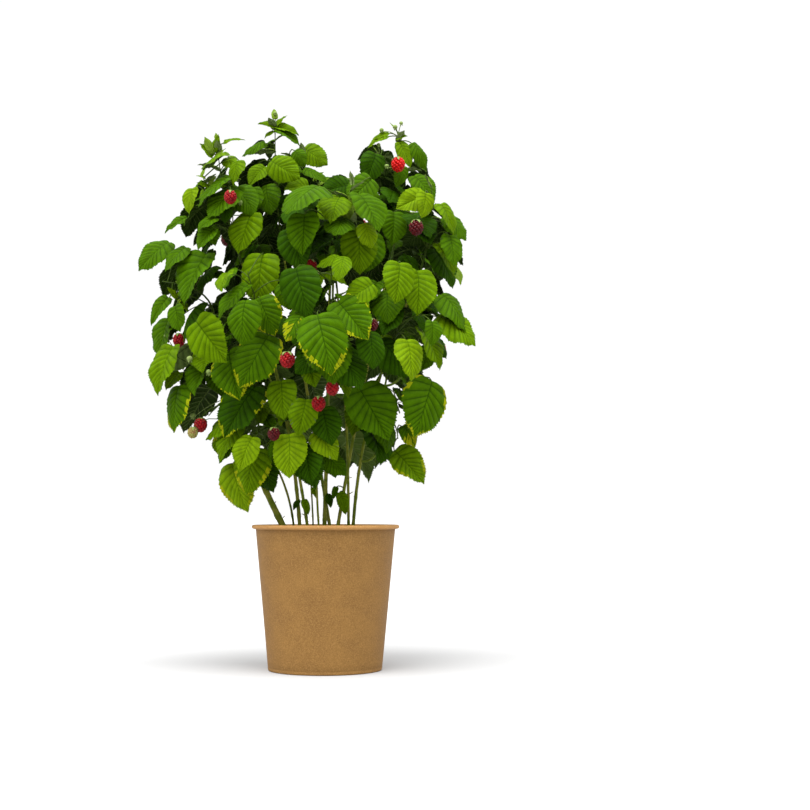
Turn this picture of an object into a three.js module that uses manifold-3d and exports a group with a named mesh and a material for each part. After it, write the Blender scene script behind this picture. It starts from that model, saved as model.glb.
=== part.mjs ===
// A potted raspberry bush: a tapered paper pot filled with soil, eleven canes that rise from one root,
// the boughs that branch off them, and the masses of foliage that they carry, with their leaves and berries.
// Millimetres, +Z up. The origin is the centre of the pot's flat underside, and -Y is the front.

import * as THREE from 'three';
import { mergeVertices } from 'three/addons/utils/BufferGeometryUtils.js';
import Module from 'manifold-3d';

const wasm = await Module();
wasm.setup();

// ---------------------------------------------------------------- driving dimensions

const GAP = 0.3; // clearance between pieces that touch
const FINEST = 0.02; // edges shorter than this are closed up where solids are joined

const POT = {
  height: 186,
  baseRadius: 73.5,
  topRadius: 90.5, // outer wall just under the rim
  wall: 2.2,
  floor: 3,
  rimRadius: 2.6, // of the rolled rim's own section
  sides: 32,
  rimSteps: 5,
};
const UNDER_RIM = POT.height - 2 * POT.rimRadius;
const SOIL = { surface: 174, crown: 3, flatShare: 0.72, wallGap: 0.42 };

// Canes stand on the soil. Each has a foot [x, y], a lean there [dx, dy] for each millimetre of height,
// a tip [x, y, z] inside the mass that it carries, and a radius at foot and tip.
const CANES = {
  cane_left_arching: { foot: [-50, -12], lean: [-0.5, -0.02], tip: [-131, -4, 345], radii: [4.4, 2.2] },
  cane_left_thin: { foot: [-41, 12], lean: [-0.06, -0.1], tip: [-70, -20, 272], radii: [1.5, 1.3] },
  cane_left_tall: { foot: [-33, -6], lean: [-0.06, 0], tip: [-110, -18, 525], radii: [2.5, 1.5] },
  cane_front_left: { foot: [-22, -24], lean: [-0.14, -0.1], tip: [-66, -66, 384], radii: [2.1, 1.4] },
  cane_stub: { foot: [-16, 14], lean: [-0.04, 0.02], tip: [-21, 17, 262], radii: [1.2, 0.9] },
  cane_front_thin: { foot: [-8, -34], lean: [-0.09, -0.08], tip: [-12, -44, 270], radii: [1.4, 1.3] },
  cane_middle: { foot: [-2, -8], lean: [0.03, -0.02], tip: [4, -14, 500], radii: [2.8, 1.6] },
  cane_left_peak: { foot: [7, 14], lean: [-0.17, 0.02], tip: [-56, 20, 535], radii: [2.2, 1.4] },
  cane_right_peak: { foot: [14, -18], lean: [0.16, 0.02], tip: [84, 12, 530], radii: [2.3, 1.4] },
  cane_back: { foot: [30, 26], lean: [0, 0.05], tip: [14, 62, 505], radii: [1.9, 1.3] },
  cane_right_tall: { foot: [35, -6], lean: [0.05, 0], tip: [112, -28, 490], radii: [2.2, 1.4] },
};

// A bough leaves the side of its cane at a share of the cane's length and ends inside the mass that it carries.
const BOUGHS = {
  bough_left: { cane: 'cane_left_tall', share: 0.48, tip: [-148, -6, 462] },
  bough_high_front: { cane: 'cane_middle', share: 0.7, tip: [8, -62, 492] },
  bough_front_middle: { cane: 'cane_middle', share: 0.42, tip: [2, -96, 386] },
  bough_front_right: { cane: 'cane_right_peak', share: 0.5, tip: [80, -66, 405] },
  bough_right: { cane: 'cane_right_tall', share: 0.6, tip: [118, 4, 422] },
  bough_back_right: { cane: 'cane_back', share: 0.42, tip: [82, 78, 385] },
  bough_back_middle: { cane: 'cane_back', share: 0.55, tip: [0, 98, 400] },
  bough_back_left: { cane: 'cane_left_peak', share: 0.45, tip: [-82, 76, 395] },
  bough_high_back_left: { cane: 'cane_left_peak', share: 0.74, tip: [-84, 66, 512] },
  bough_high_back_right: { cane: 'cane_back', share: 0.78, tip: [78, 74, 505] },
  bough_low_right: { cane: 'cane_right_tall', share: 0.29, tip: [70, -12, 300] },
  bough_low_back: { cane: 'cane_back', share: 0.24, tip: [-2, 60, 292] },
};
const BOUGH_RADII = [1.7, 1.3];

// Each mass of foliage grows round a centre and reaches [x, y, z] from it. Its stem goes on from its limb to the
// first shoot tip. leaf is the length of an end leaflet, leaves the number of compound leaves that the rule grows,
// tuft the longest young leaf of shoot tips that show, and berries those that hang on the mass's outer side.
const MASSES = {
  foliage_left_peak: {
    limb: 'cane_left_peak', centre: [-66, 20, 620], reach: [64, 62, 92],
    tips: [[-69, 8, 725], [-32, 14, 676]], leaf: 60, leaves: 7, tuft: 34, berries: 0,
  },
  foliage_left_shoulder: {
    limb: 'cane_left_tall', centre: [-132, -28, 592], reach: [64, 66, 84],
    tips: [[-143, -20, 682], [-160, -40, 634]], leaf: 63, leaves: 7, tuft: 34, berries: 0,
  },
  foliage_right_peak: {
    limb: 'cane_right_peak', centre: [94, 24, 612], reach: [60, 60, 86],
    tips: [[94, 12, 710], [68, 24, 676]], leaf: 58, leaves: 7, tuft: 30, berries: 1,
  },
  foliage_right_shoulder: {
    limb: 'cane_right_tall', centre: [128, -42, 562], reach: [56, 66, 72],
    tips: [[134, -64, 620]], leaf: 62, leaves: 7, tuft: 34, berries: 0,
  },
  foliage_heart: {
    limb: 'cane_middle', centre: [8, 0, 562], reach: [70, 50, 72],
    tips: [[4, 6, 640]], leaf: 68, leaves: 7, tuft: 34, berries: 0,
  },
  foliage_high_front: {
    limb: 'bough_high_front', centre: [6, -88, 548], reach: [72, 66, 70],
    tips: [[32, -112, 610]], leaf: 70, leaves: 7, tuft: 34, berries: 0,
  },
  foliage_high_back: {
    limb: 'cane_back', centre: [8, 84, 584], reach: [80, 62, 78],
    tips: [[-16, 78, 662]], leaf: 70, leaves: 7, tuft: 34, berries: 1,
  },
  foliage_high_back_left: {
    limb: 'bough_high_back_left', centre: [-98, 96, 566], reach: [72, 66, 76],
    tips: [[-104, 98, 656]], leaf: 70, leaves: 8, tuft: 36, berries: 1,
  },
  foliage_high_back_right: {
    limb: 'bough_high_back_right', centre: [100, 96, 556], reach: [72, 66, 76],
    tips: [[112, 100, 648]], leaf: 70, leaves: 8, tuft: 36, berries: 1,
  },
  foliage_left: {
    limb: 'bough_left', centre: [-160, -8, 486], reach: [66, 76, 70],
    tips: [[-212, -20, 500]], leaf: 75, leaves: 8, tuft: 36, berries: 0,
  },
  foliage_front_left: {
    limb: 'cane_front_left', centre: [-88, -84, 446], reach: [74, 66, 82],
    tips: [[-98, -108, 500]], leaf: 78, leaves: 8, tuft: 0, berries: 0,
  },
  foliage_front_middle: {
    limb: 'bough_front_middle', centre: [2, -128, 440], reach: [70, 62, 82],
    tips: [[6, -140, 500]], leaf: 78, leaves: 8, tuft: 0, berries: 0,
  },
  foliage_front_right: {
    limb: 'bough_front_right', centre: [94, -86, 450], reach: [70, 66, 82],
    tips: [[100, -104, 508]], leaf: 78, leaves: 8, tuft: 0, berries: 0,
  },
  foliage_right: {
    limb: 'bough_right', centre: [112, 4, 452], reach: [52, 76, 76],
    tips: [[150, 8, 482]], leaf: 66, leaves: 9, tuft: 0, berries: 0,
  },
  foliage_back_right: {
    limb: 'bough_back_right', centre: [98, 104, 430], reach: [76, 68, 80],
    tips: [[116, 128, 470]], leaf: 80, leaves: 8, tuft: 0, berries: 1,
  },
  foliage_back_middle: {
    limb: 'bough_back_middle', centre: [0, 128, 440], reach: [74, 62, 84],
    tips: [[-4, 150, 486]], leaf: 80, leaves: 8, tuft: 0, berries: 1,
  },
  foliage_back_left: {
    limb: 'bough_back_left', centre: [-102, 106, 436], reach: [76, 68, 80],
    tips: [[-120, 130, 478]], leaf: 80, leaves: 8, tuft: 0, berries: 1,
  },
  foliage_low_left: {
    limb: 'cane_left_arching', centre: [-156, -4, 378], reach: [62, 72, 58],
    tips: [[-196, -12, 404]], leaf: 80, leaves: 8, tuft: 0, berries: 0,
  },
  foliage_foot_left: {
    limb: 'cane_left_thin', centre: [-96, -34, 308], reach: [66, 62, 62],
    tips: [[-100, -56, 336]], leaf: 75, leaves: 8, tuft: 0, berries: 0,
  },
  foliage_foot_front: {
    limb: 'cane_front_thin', centre: [-30, -58, 312], reach: [62, 62, 60],
    tips: [[-24, -78, 346]], leaf: 72, leaves: 8, tuft: 0, berries: 0,
  },
  foliage_foot_right: {
    limb: 'bough_low_right', centre: [74, -48, 326], reach: [70, 70, 64],
    tips: [[98, -44, 352], [92, -40, 296]], leaf: 75, leaves: 8, tuft: 0, berries: 0,
  },
  foliage_foot_back: {
    limb: 'bough_low_back', centre: [-10, 82, 322], reach: [88, 64, 58],
    tips: [[-20, 104, 350]], leaf: 78, leaves: 8, tuft: 0, berries: 1,
  },
};

// The large leaves that hang outermost in front, as seen from the front viewpoint and given on the plane
// through the pot's axis: base x, z and tip x, z. Each is set back from the viewer to the front of its mass.
const FRONT_VIEW = { distance: 1900, height: 217 };
const FRONT_LEAVES = [
  [146, 556, 174, 519], [148, 608, 172, 575], [-194, 562, -238, 533], [147, 458, 201, 428], [-197, 417, -229, 361],
  [-189, 366, -200, 306], [138, 374, 117, 300], [-151, 543, -192, 484], [89, 282, 130, 242],
  [-120, 266, -108, 203], [114, 646, 147, 618], [-116, 664, -125, 634], [-31, 683, 0, 663], [22, 374, 68, 296],
  [-75, 411, -113, 348], [-79, 632, -74, 593], [-30, 593, -30, 542], [-97, 592, -116, 542], [-81, 559, -95, 495],
  [-40, 521, -25, 459], [72, 556, 64, 502], [43, 575, 40, 519], [94, 529, 94, 476], [118, 519, 126, 462],
  [59, 634, 26, 603], [87, 597, 87, 554], [122, 540, 160, 490], [-170, 450, -130, 399], [-12, 458, 6, 382],
  [14, 476, 56, 429], [-125, 411, -116, 347], [99, 422, 112, 370], [-75, 363, -127, 291], [-75, 285, -95, 227],
  [-48, 303, -43, 247], [-26, 348, -34, 303], [-58, 380, -55, 329], [-26, 291, -23, 239], [9, 337, 18, 288],
  [44, 428, 104, 376],
];

// Berries that show in front, placed like the front leaves: x, z and radius.
const FRONT_BERRIES = [
  [-127, 615, 8.5], [94, 662, 9.5], [118, 577, 9.5], [-21, 524, 8.5], [60, 447, 7.5], [-192, 426, 8.5],
  [-51, 400, 9.5], [8, 363, 8.5], [-10, 343, 9], [-163, 315, 9], [-68, 303, 8], [-173, 305, 7],
];

// The crown's outline from the front, in the same plane: at each height z, how far it reaches to the left and to the
// right. The leaves of the rule keep within it, and the outermost leaves reach past it.
const OUTLINE = [
  [220, -131, 40], [260, -144, 98], [300, -176, 121], [340, -218, 155], [380, -232, 154], [420, -228, 157],
  [460, -226, 168], [500, -212, 178], [540, -206, 182], [580, -198, 178], [620, -184, 160], [660, -172, 142],
  [700, -172, 134],
];

// Places within the outline where the sky shows through: x, z and radius.
const SKY_GAPS = [
  [-153, 485, 12], [-98, 448, 9], [-186, 392, 9], [101, 321, 13], [134, 394, 12], [76, 370, 6], [138, 548, 7],
  [-163, 588, 7], [-140, 540, 5], [6, 694, 34],
];

// Where a leaflet is tested for showing in the sky: share of its length and of its half width.
const SKY_TESTS = [[0.12, 0], [0.3, -0.7], [0.3, 0.7], [0.45, 0], [0.6, -0.6], [0.6, 0.6], [0.8, 0], [1, 0]];

// How an outermost leaf or berry is fitted: how far it first stands proud of the reach of the masses, how far it is
// set back in steps, the rings of sideways shifts, the scales, and how its base and tip lie before and behind.
const FRONT_FIT = {
  proud: 4,
  setBacks: [0, 6, 12, 18, 24, 32, 40, 50, 60, 70],
  shiftRings: [7, 14, 21],
  shiftTurns: 8,
  scales: [1, 0.88, 0.76],
  baseBack: 0.12,
  tipForth: 0.2,
  hides: 0.42,
  widestReach: 1.35,
};

const LEAF = {
  widthShare: 0.8, // width over length
  crestShare: 0.055, // how far the rib stands proud of the margins
  droopShare: 0.12, // how far the tip falls below the plane of the blade
  rings: [0.22, 0.66], // where the blade's outline has its corners
  kiteWidest: 0.38, // the same on a side leaflet
  rootSunk: 3.5, // how deep the root of a side leaflet sits past the axis of its stalk
  sideShare: 0.8, // length of a side leaflet over the end one
  sideTurns: [-80, 75], // degrees from the end leaflet to each side leaflet
  sideFall: 0.25,
  rachisShare: 0.32, // from the side leaflets to the end one, over the length of the end one
};
const STALK = { rootRadius: 0.85, radius: 0.7, rings: [0, 0.5, 1], rise: 0.12, straight: 0.35, lean: 0.25 };
const STEM = { rootRadius: 1.5, tipRadius: 1.2, steps: 5, sides: 5, anchors: 26, hold: 0.45 };
const SHOOT = { share: 0.45, scale: 0.8, hold: 0.5, outward: 0.4, bareAnchors: 3 };
const TUFT = { leaves: 5, shortest: 18, widthShare: 0.5, tallShare: 0.3, steepest: 1.2, fall: 1.15, jitter: 0.2 };
const BERRY = { radius: 9, stretch: 1.12, sides: 5, rings: 3, capShare: 0.8, outward: [0.95, 0.8, 0.65] };

// Where the rule hangs a compound leaf: on sites round the mass's centre, blade facing out and up, tip out and down.
const SITE = {
  tries: 100,
  riseStep: 0.7548776662, // two steps that spread points evenly however many there are
  turnStep: 0.569840291,
  depths: [0.58, 0.88],
  sizes: [0.86, 1.14],
  mostInward: -0.75,
  lift: 0.25,
  attempts: 4,
  pullIn: 0.2,
  shrink: 0.08,
  swing: 0.55,
  tipOut: 0.62,
  tipDown: -0.85,
  tipLift: 0.6,
  faceOut: 0.75,
  faceUp: 0.65,
  faceSwing: 0.3,
};

const CANE_MESH = { sides: 6, steps: 6 };
const BOUGH_MESH = { sides: 5, steps: 4 };
const CLEAR_OF_LIMB = 2.2;
const TUBE_CLEAR_OF_LIMB = 0.8;
const CLEAR_OF_SPACE = 0.4;

// ---------------------------------------------------------------- numbers and vectors

const UP = new THREE.Vector3(0, 0, 1);
const GOLDEN_ANGLE = Math.PI * (3 - Math.sqrt(5));
const vec = (place) => new THREE.Vector3(...place);
const mix = ([from, to], share) => from + (to - from) * share;

/** Seeded numbers from 0 to 1, the same on every run. */
class Draws {
  constructor(seed) {
    this.state = seed >>> 0;
  }

  next() {
    this.state = (Math.imul(this.state, 1664525) + 1013904223) >>> 0;
    return this.state / 2 ** 32;
  }

  spread(size) {
    return (this.next() * 2 - 1) * size;
  }
}

// ---------------------------------------------------------------- solids

/** A closed three.js geometry as a solid that can be joined. */
function solidFrom(geometry) {
  const bare = geometry.clone();
  bare.deleteAttribute('normal');
  bare.deleteAttribute('uv');
  const merged = mergeVertices(bare, 1e-4);
  const vertProperties = merged.attributes.position.array;
  const triVerts = new Uint32Array(merged.index.array);
  return new wasm.Manifold(new wasm.Mesh({ numProp: 3, vertProperties, triVerts }));
}

/** Joins solids in pairs, and keeps the largest body without any scrap, sealed hollow or needle-thin face. */
function join(solids) {
  let layer = solids;
  while (layer.length > 1) {
    const next = [];
    for (let i = 0; i < layer.length; i += 2) {
      next.push(i + 1 < layer.length ? layer[i].add(layer[i + 1]) : layer[i]);
    }
    layer = next;
  }
  const body = layer[0].decompose().reduce((best, part) => (part.volume() > best.volume() ? part : best));
  return body.simplify(FINEST);
}

/** A solid as a three.js geometry. */
function geometryFrom(solid) {
  const mesh = solid.getMesh();
  const geometry = new THREE.BufferGeometry();
  geometry.setAttribute('position', new THREE.BufferAttribute(new Float32Array(mesh.vertProperties), 3));
  geometry.setIndex(new THREE.BufferAttribute(new Uint32Array(mesh.triVerts), 1));
  geometry.computeVertexNormals();
  return geometry;
}

/** A closed tapering tube: a cylinder whose rings are carried along a curve. A cut foot is level. */
function taperedTube(curve, radii, sides, steps, cutFoot = false) {
  const geometry = new THREE.CylinderGeometry(1, 1, 1, sides, steps);
  const frames = curve.computeFrenetFrames(steps, false);
  const position = geometry.attributes.position;
  for (let i = 0; i < position.count; i += 1) {
    const ring = Math.round((position.getY(i) + 0.5) * steps);
    const radius = mix(radii, ring / steps);
    const point = curve.getPointAt(ring / steps);
    point.addScaledVector(frames.normals[ring], position.getX(i) * radius);
    point.addScaledVector(frames.binormals[ring], -position.getZ(i) * radius);
    if (cutFoot && ring === 0) {
      const tangent = frames.tangents[0];
      point.addScaledVector(tangent, (curve.v0.z - point.z) / tangent.z);
    }
    position.setXYZ(i, point.x, point.y, point.z);
  }
  return geometry;
}

// ---------------------------------------------------------------- pot and soil

/** The radius of the pot's inner wall at a height. */
function innerRadius(height) {
  return mix([POT.baseRadius, POT.topRadius], height / UNDER_RIM) - POT.wall;
}

/** The pot turned round its axis: flat underside, tapering wall and rolled rim. */
function potGeometry() {
  const points = [[0, 0], [POT.baseRadius, 0], [POT.topRadius, UNDER_RIM]];
  for (let i = 0; i <= POT.rimSteps; i += 1) {
    const angle = -Math.PI / 2 + (i * Math.PI) / POT.rimSteps;
    const out = POT.topRadius + POT.rimRadius * (1 + Math.cos(angle));
    points.push([out, POT.height + POT.rimRadius * (Math.sin(angle) - 1)]);
  }
  points.push([POT.topRadius - POT.wall / 2, POT.height - POT.wall / 4]);
  points.push([innerRadius(UNDER_RIM), UNDER_RIM + POT.rimRadius]);
  points.push([innerRadius(POT.floor), POT.floor], [0, POT.floor]);
  return turned(points);
}

/** The soil fills the pot with a gap to its wall and floor, and falls a little towards the wall. */
function soilGeometry() {
  const low = POT.floor + GAP;
  const edge = SOIL.surface - SOIL.crown;
  return turned([
    [0, low],
    [innerRadius(low) - SOIL.wallGap, low],
    [innerRadius(edge) - SOIL.wallGap, edge],
    [POT.topRadius * SOIL.flatShare, SOIL.surface],
    [0, SOIL.surface],
  ]);
}

/** A profile of [radius, height] points turned round the pot's axis. */
function turned(points) {
  const profile = points.map(([radius, height]) => new THREE.Vector2(radius, height));
  return new THREE.LatheGeometry(profile, POT.sides).rotateX(Math.PI / 2);
}

// ---------------------------------------------------------------- canes and boughs

/** A curve that leaves its start along a direction and bends evenly to its end. */
function bendingCurve(start, direction, end, hold) {
  const middle = start.clone().addScaledVector(direction, start.distanceTo(end) * hold);
  return new THREE.QuadraticBezierCurve3(start, middle, end);
}

function limbFrom(curve, radii) {
  return { curve, radii, samples: curve.getSpacedPoints(Math.ceil(curve.getLength() / 4)) };
}

/** Every cane and bough by name: its curve, its two radii and sample points for the clearance tests. */
function growLimbs() {
  const grown = {};
  for (const [name, cane] of Object.entries(CANES)) {
    const foot = vec([...cane.foot, SOIL.surface + GAP]);
    const direction = vec([...cane.lean, 1]).normalize();
    grown[name] = limbFrom(bendingCurve(foot, direction, vec(cane.tip), 0.5), cane.radii);
  }
  for (const [name, bough] of Object.entries(BOUGHS)) {
    const cane = grown[bough.cane];
    const root = cane.curve.getPointAt(bough.share);
    const along = cane.curve.getTangentAt(bough.share);
    const outward = vec(bough.tip).sub(root);
    outward.addScaledVector(along, -outward.dot(along)).normalize();
    root.addScaledVector(outward, mix(cane.radii, bough.share) + GAP);
    grown[name] = limbFrom(bendingCurve(root, outward, vec(bough.tip), 0.5), BOUGH_RADII);
  }
  return grown;
}

/** True where a limb comes within some room of a point. */
function limbNear(point, room, limbs) {
  return Object.values(limbs).some(({ samples, radii }) => {
    const reach = room + radii[0];
    return samples.some((sample) => sample.distanceToSquared(point) < reach * reach);
  });
}

// ---------------------------------------------------------------- the space of each mass

const masses = Object.entries(MASSES).map(([name, mass], index) => ({
  ...mass,
  name,
  seed: 7919 * (index + 1),
  centre: vec(mass.centre),
  weight: ((mass.reach[0] + mass.reach[1] + mass.reach[2]) / 3) ** 2,
}));

/** How deep a point lies in the space of a mass; flat faces between the centres part the spaces. */
function depthInSpace(point, mass) {
  const own = point.distanceToSquared(mass.centre) - mass.weight;
  let depth = Infinity;
  for (const other of masses) {
    if (other === mass) continue;
    const theirs = point.distanceToSquared(other.centre) - other.weight;
    depth = Math.min(depth, (theirs - own) / (2 * other.centre.distanceTo(mass.centre)));
  }
  return depth;
}

const staysInSpace = (points, mass) => points.every((point) => depthInSpace(point, mass) > CLEAR_OF_SPACE);

// ---------------------------------------------------------------- leaflets

/** A leaflet is a frame: its base, the directions of its tip, face and side, and its length and width. */
function leafFrame(base, tipWish, faceWish, length, widthShare) {
  const tip = tipWish.clone().normalize();
  const face = faceWish.clone().addScaledVector(tip, -faceWish.dot(tip)).normalize();
  const side = new THREE.Vector3().crossVectors(tip, face);
  return { base, tip, face, side, length, width: length * widthShare };
}

/** Half of the blade's width at a share of its length, as a share of its greatest half width. */
const bladeProfile = (share) => Math.sin(Math.PI * share ** 0.7) ** 0.85;

/** A place on a leaflet: share of its length, share of its greatest half width, and height over its margins. */
function onLeaf(leaf, share, across, height) {
  const droop = leaf.length * LEAF.droopShare * share * share;
  return leaf.base
    .clone()
    .addScaledVector(leaf.tip, leaf.length * share)
    .addScaledVector(leaf.side, (leaf.width / 2) * across)
    .addScaledVector(leaf.face, height - droop);
}

/** The corners of a leaflet's outline and of its rib. */
function leafPoints(leaf) {
  const points = [onLeaf(leaf, -LEAF.rootSunk / leaf.length, 0, 0), onLeaf(leaf, 1, 0, 0)];
  for (const share of [...LEAF.rings, LEAF.kiteWidest]) {
    const across = bladeProfile(share);
    points.push(onLeaf(leaf, share, across, 0), onLeaf(leaf, share, -across, 0));
    points.push(onLeaf(leaf, share, 0, leaf.length * LEAF.crestShare));
  }
  return points;
}

/** A side leaflet's solid: a flat double pyramid of eight faces, its root sunk past the axis of its stalk. */
function leafGeometry(leaf) {
  const geometry = new THREE.SphereGeometry(1, 4, 2);
  const position = geometry.attributes.position;
  const shares = [-LEAF.rootSunk / leaf.length, LEAF.kiteWidest, 1];
  for (let i = 0; i < position.count; i += 1) {
    const share = shares[Math.round(position.getX(i)) + 1];
    const height = Math.round(position.getY(i));
    const proud = height === 0 ? 0 : (leaf.length * LEAF.crestShare * (1 + height)) / 2;
    const place = onLeaf(leaf, share, Math.round(position.getZ(i)), proud);
    position.setXYZ(i, place.x, place.y, place.z);
  }
  return geometry;
}

/** A place on a stalk's three-sided section: corner 0 is on top, 1 and 2 at the sides, and -1 is the centre. */
function onStalk(curve, leaf, share, corner) {
  const place = curve.getPointAt(share);
  if (corner < 0) return place;
  const tangent = curve.getTangentAt(share);
  const side = leaf.side.clone().addScaledVector(tangent, -leaf.side.dot(tangent));
  if (side.length() < 0.2) side.copy(leaf.face).addScaledVector(tangent, -leaf.face.dot(tangent));
  const face = new THREE.Vector3().crossVectors(side.normalize(), tangent);
  const radius = mix([STALK.rootRadius, STALK.radius], share);
  const angle = (corner * 2 * Math.PI) / 3;
  return place.addScaledVector(side, Math.sin(angle) * radius).addScaledVector(face, Math.cos(angle) * radius);
}

/** An end leaflet and its stalk in one solid: a three-sided cone whose rings follow the stalk, then the blade. */
function stalkedLeafGeometry(curve, leaf) {
  const rings = STALK.rings.length + LEAF.rings.length;
  const geometry = new THREE.ConeGeometry(1, 1, 3, rings);
  const position = geometry.attributes.position;
  for (let i = 0; i < position.count; i += 1) {
    const [x, y, z] = [position.getX(i), position.getY(i), position.getZ(i)];
    const ring = Math.round((y + 0.5) * rings);
    const corner = Math.hypot(x, z) < 1e-6 ? -1 : Math.round((Math.atan2(x, z) * 3) / (2 * Math.PI) + 3) % 3;
    const place = placeOnStalkedLeaf(curve, leaf, ring, corner);
    position.setXYZ(i, place.x, place.y, place.z);
  }
  return geometry;
}

function placeOnStalkedLeaf(curve, leaf, ring, corner) {
  if (ring < STALK.rings.length) return onStalk(curve, leaf, STALK.rings[ring], corner);
  const share = [...LEAF.rings, 1][ring - STALK.rings.length];
  if (share === 1) return onLeaf(leaf, 1, 0, 0);
  if (corner === 0) return onLeaf(leaf, share, 0, leaf.length * LEAF.crestShare);
  return onLeaf(leaf, share, bladeProfile(share) * (corner === 1 ? 1 : -1), 0);
}

/** True where a limb passes through a leaflet or too near to it. */
function limbTouchesLeaf(leaf, limbs) {
  const offset = new THREE.Vector3();
  return Object.values(limbs).some(({ samples, radii }) => {
    const room = radii[0] + CLEAR_OF_LIMB;
    return samples.some((sample) => {
      offset.subVectors(sample, leaf.base);
      const along = offset.dot(leaf.tip);
      const high = offset.dot(leaf.face);
      const across = Math.abs(offset.dot(leaf.side));
      const besides = along < -LEAF.rootSunk - room || along > leaf.length + room || across > leaf.width / 2 + room;
      const above = high > leaf.length * LEAF.crestShare + room;
      return !besides && !above && high > -leaf.length * LEAF.droopShare - room;
    });
  });
}

// ---------------------------------------------------------------- boxes that keep leaves apart

/** A box round a leaflet, a little inside its outline. */
function leafBox(leaf) {
  const lift = leaf.length * (LEAF.crestShare - LEAF.droopShare / 2) * 0.5;
  return {
    middle: onLeaf(leaf, 0.48, 0, 0).addScaledVector(leaf.face, lift),
    axes: [leaf.tip, leaf.side, leaf.face],
    half: [leaf.length * 0.47, leaf.width * 0.42, leaf.length * 0.07],
  };
}

/** Boxes round the stretches of a tube. */
function tubeBoxes(curve, radius, stretches) {
  const points = curve.getSpacedPoints(stretches);
  return points.slice(1).map((end, i) => {
    const along = end.clone().sub(points[i]).normalize();
    const helper = Math.abs(along.z) < 0.8 ? UP : new THREE.Vector3(1, 0, 0);
    const side = new THREE.Vector3().crossVectors(along, helper).normalize();
    const face = new THREE.Vector3().crossVectors(along, side);
    const half = [points[i].distanceTo(end) / 2, radius, radius];
    return { middle: points[i].clone().lerp(end, 0.5), axes: [along, side, face], half };
  });
}

/** True where two boxes meet, because no axis parts them. */
function boxesMeet(a, b) {
  const apart = b.middle.clone().sub(a.middle);
  const reach = (box, axis) => box.axes.reduce((sum, own, k) => sum + Math.abs(own.dot(axis)) * box.half[k], 0);
  const parts = (axis) => axis.lengthSq() > 1e-4 && Math.abs(apart.dot(axis)) > reach(a, axis) + reach(b, axis);
  if (a.axes.some(parts) || b.axes.some(parts)) return false;
  return !a.axes.some((ownA) => b.axes.some((ownB) => parts(new THREE.Vector3().crossVectors(ownA, ownB))));
}

// ---------------------------------------------------------------- growth of a mass

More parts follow.
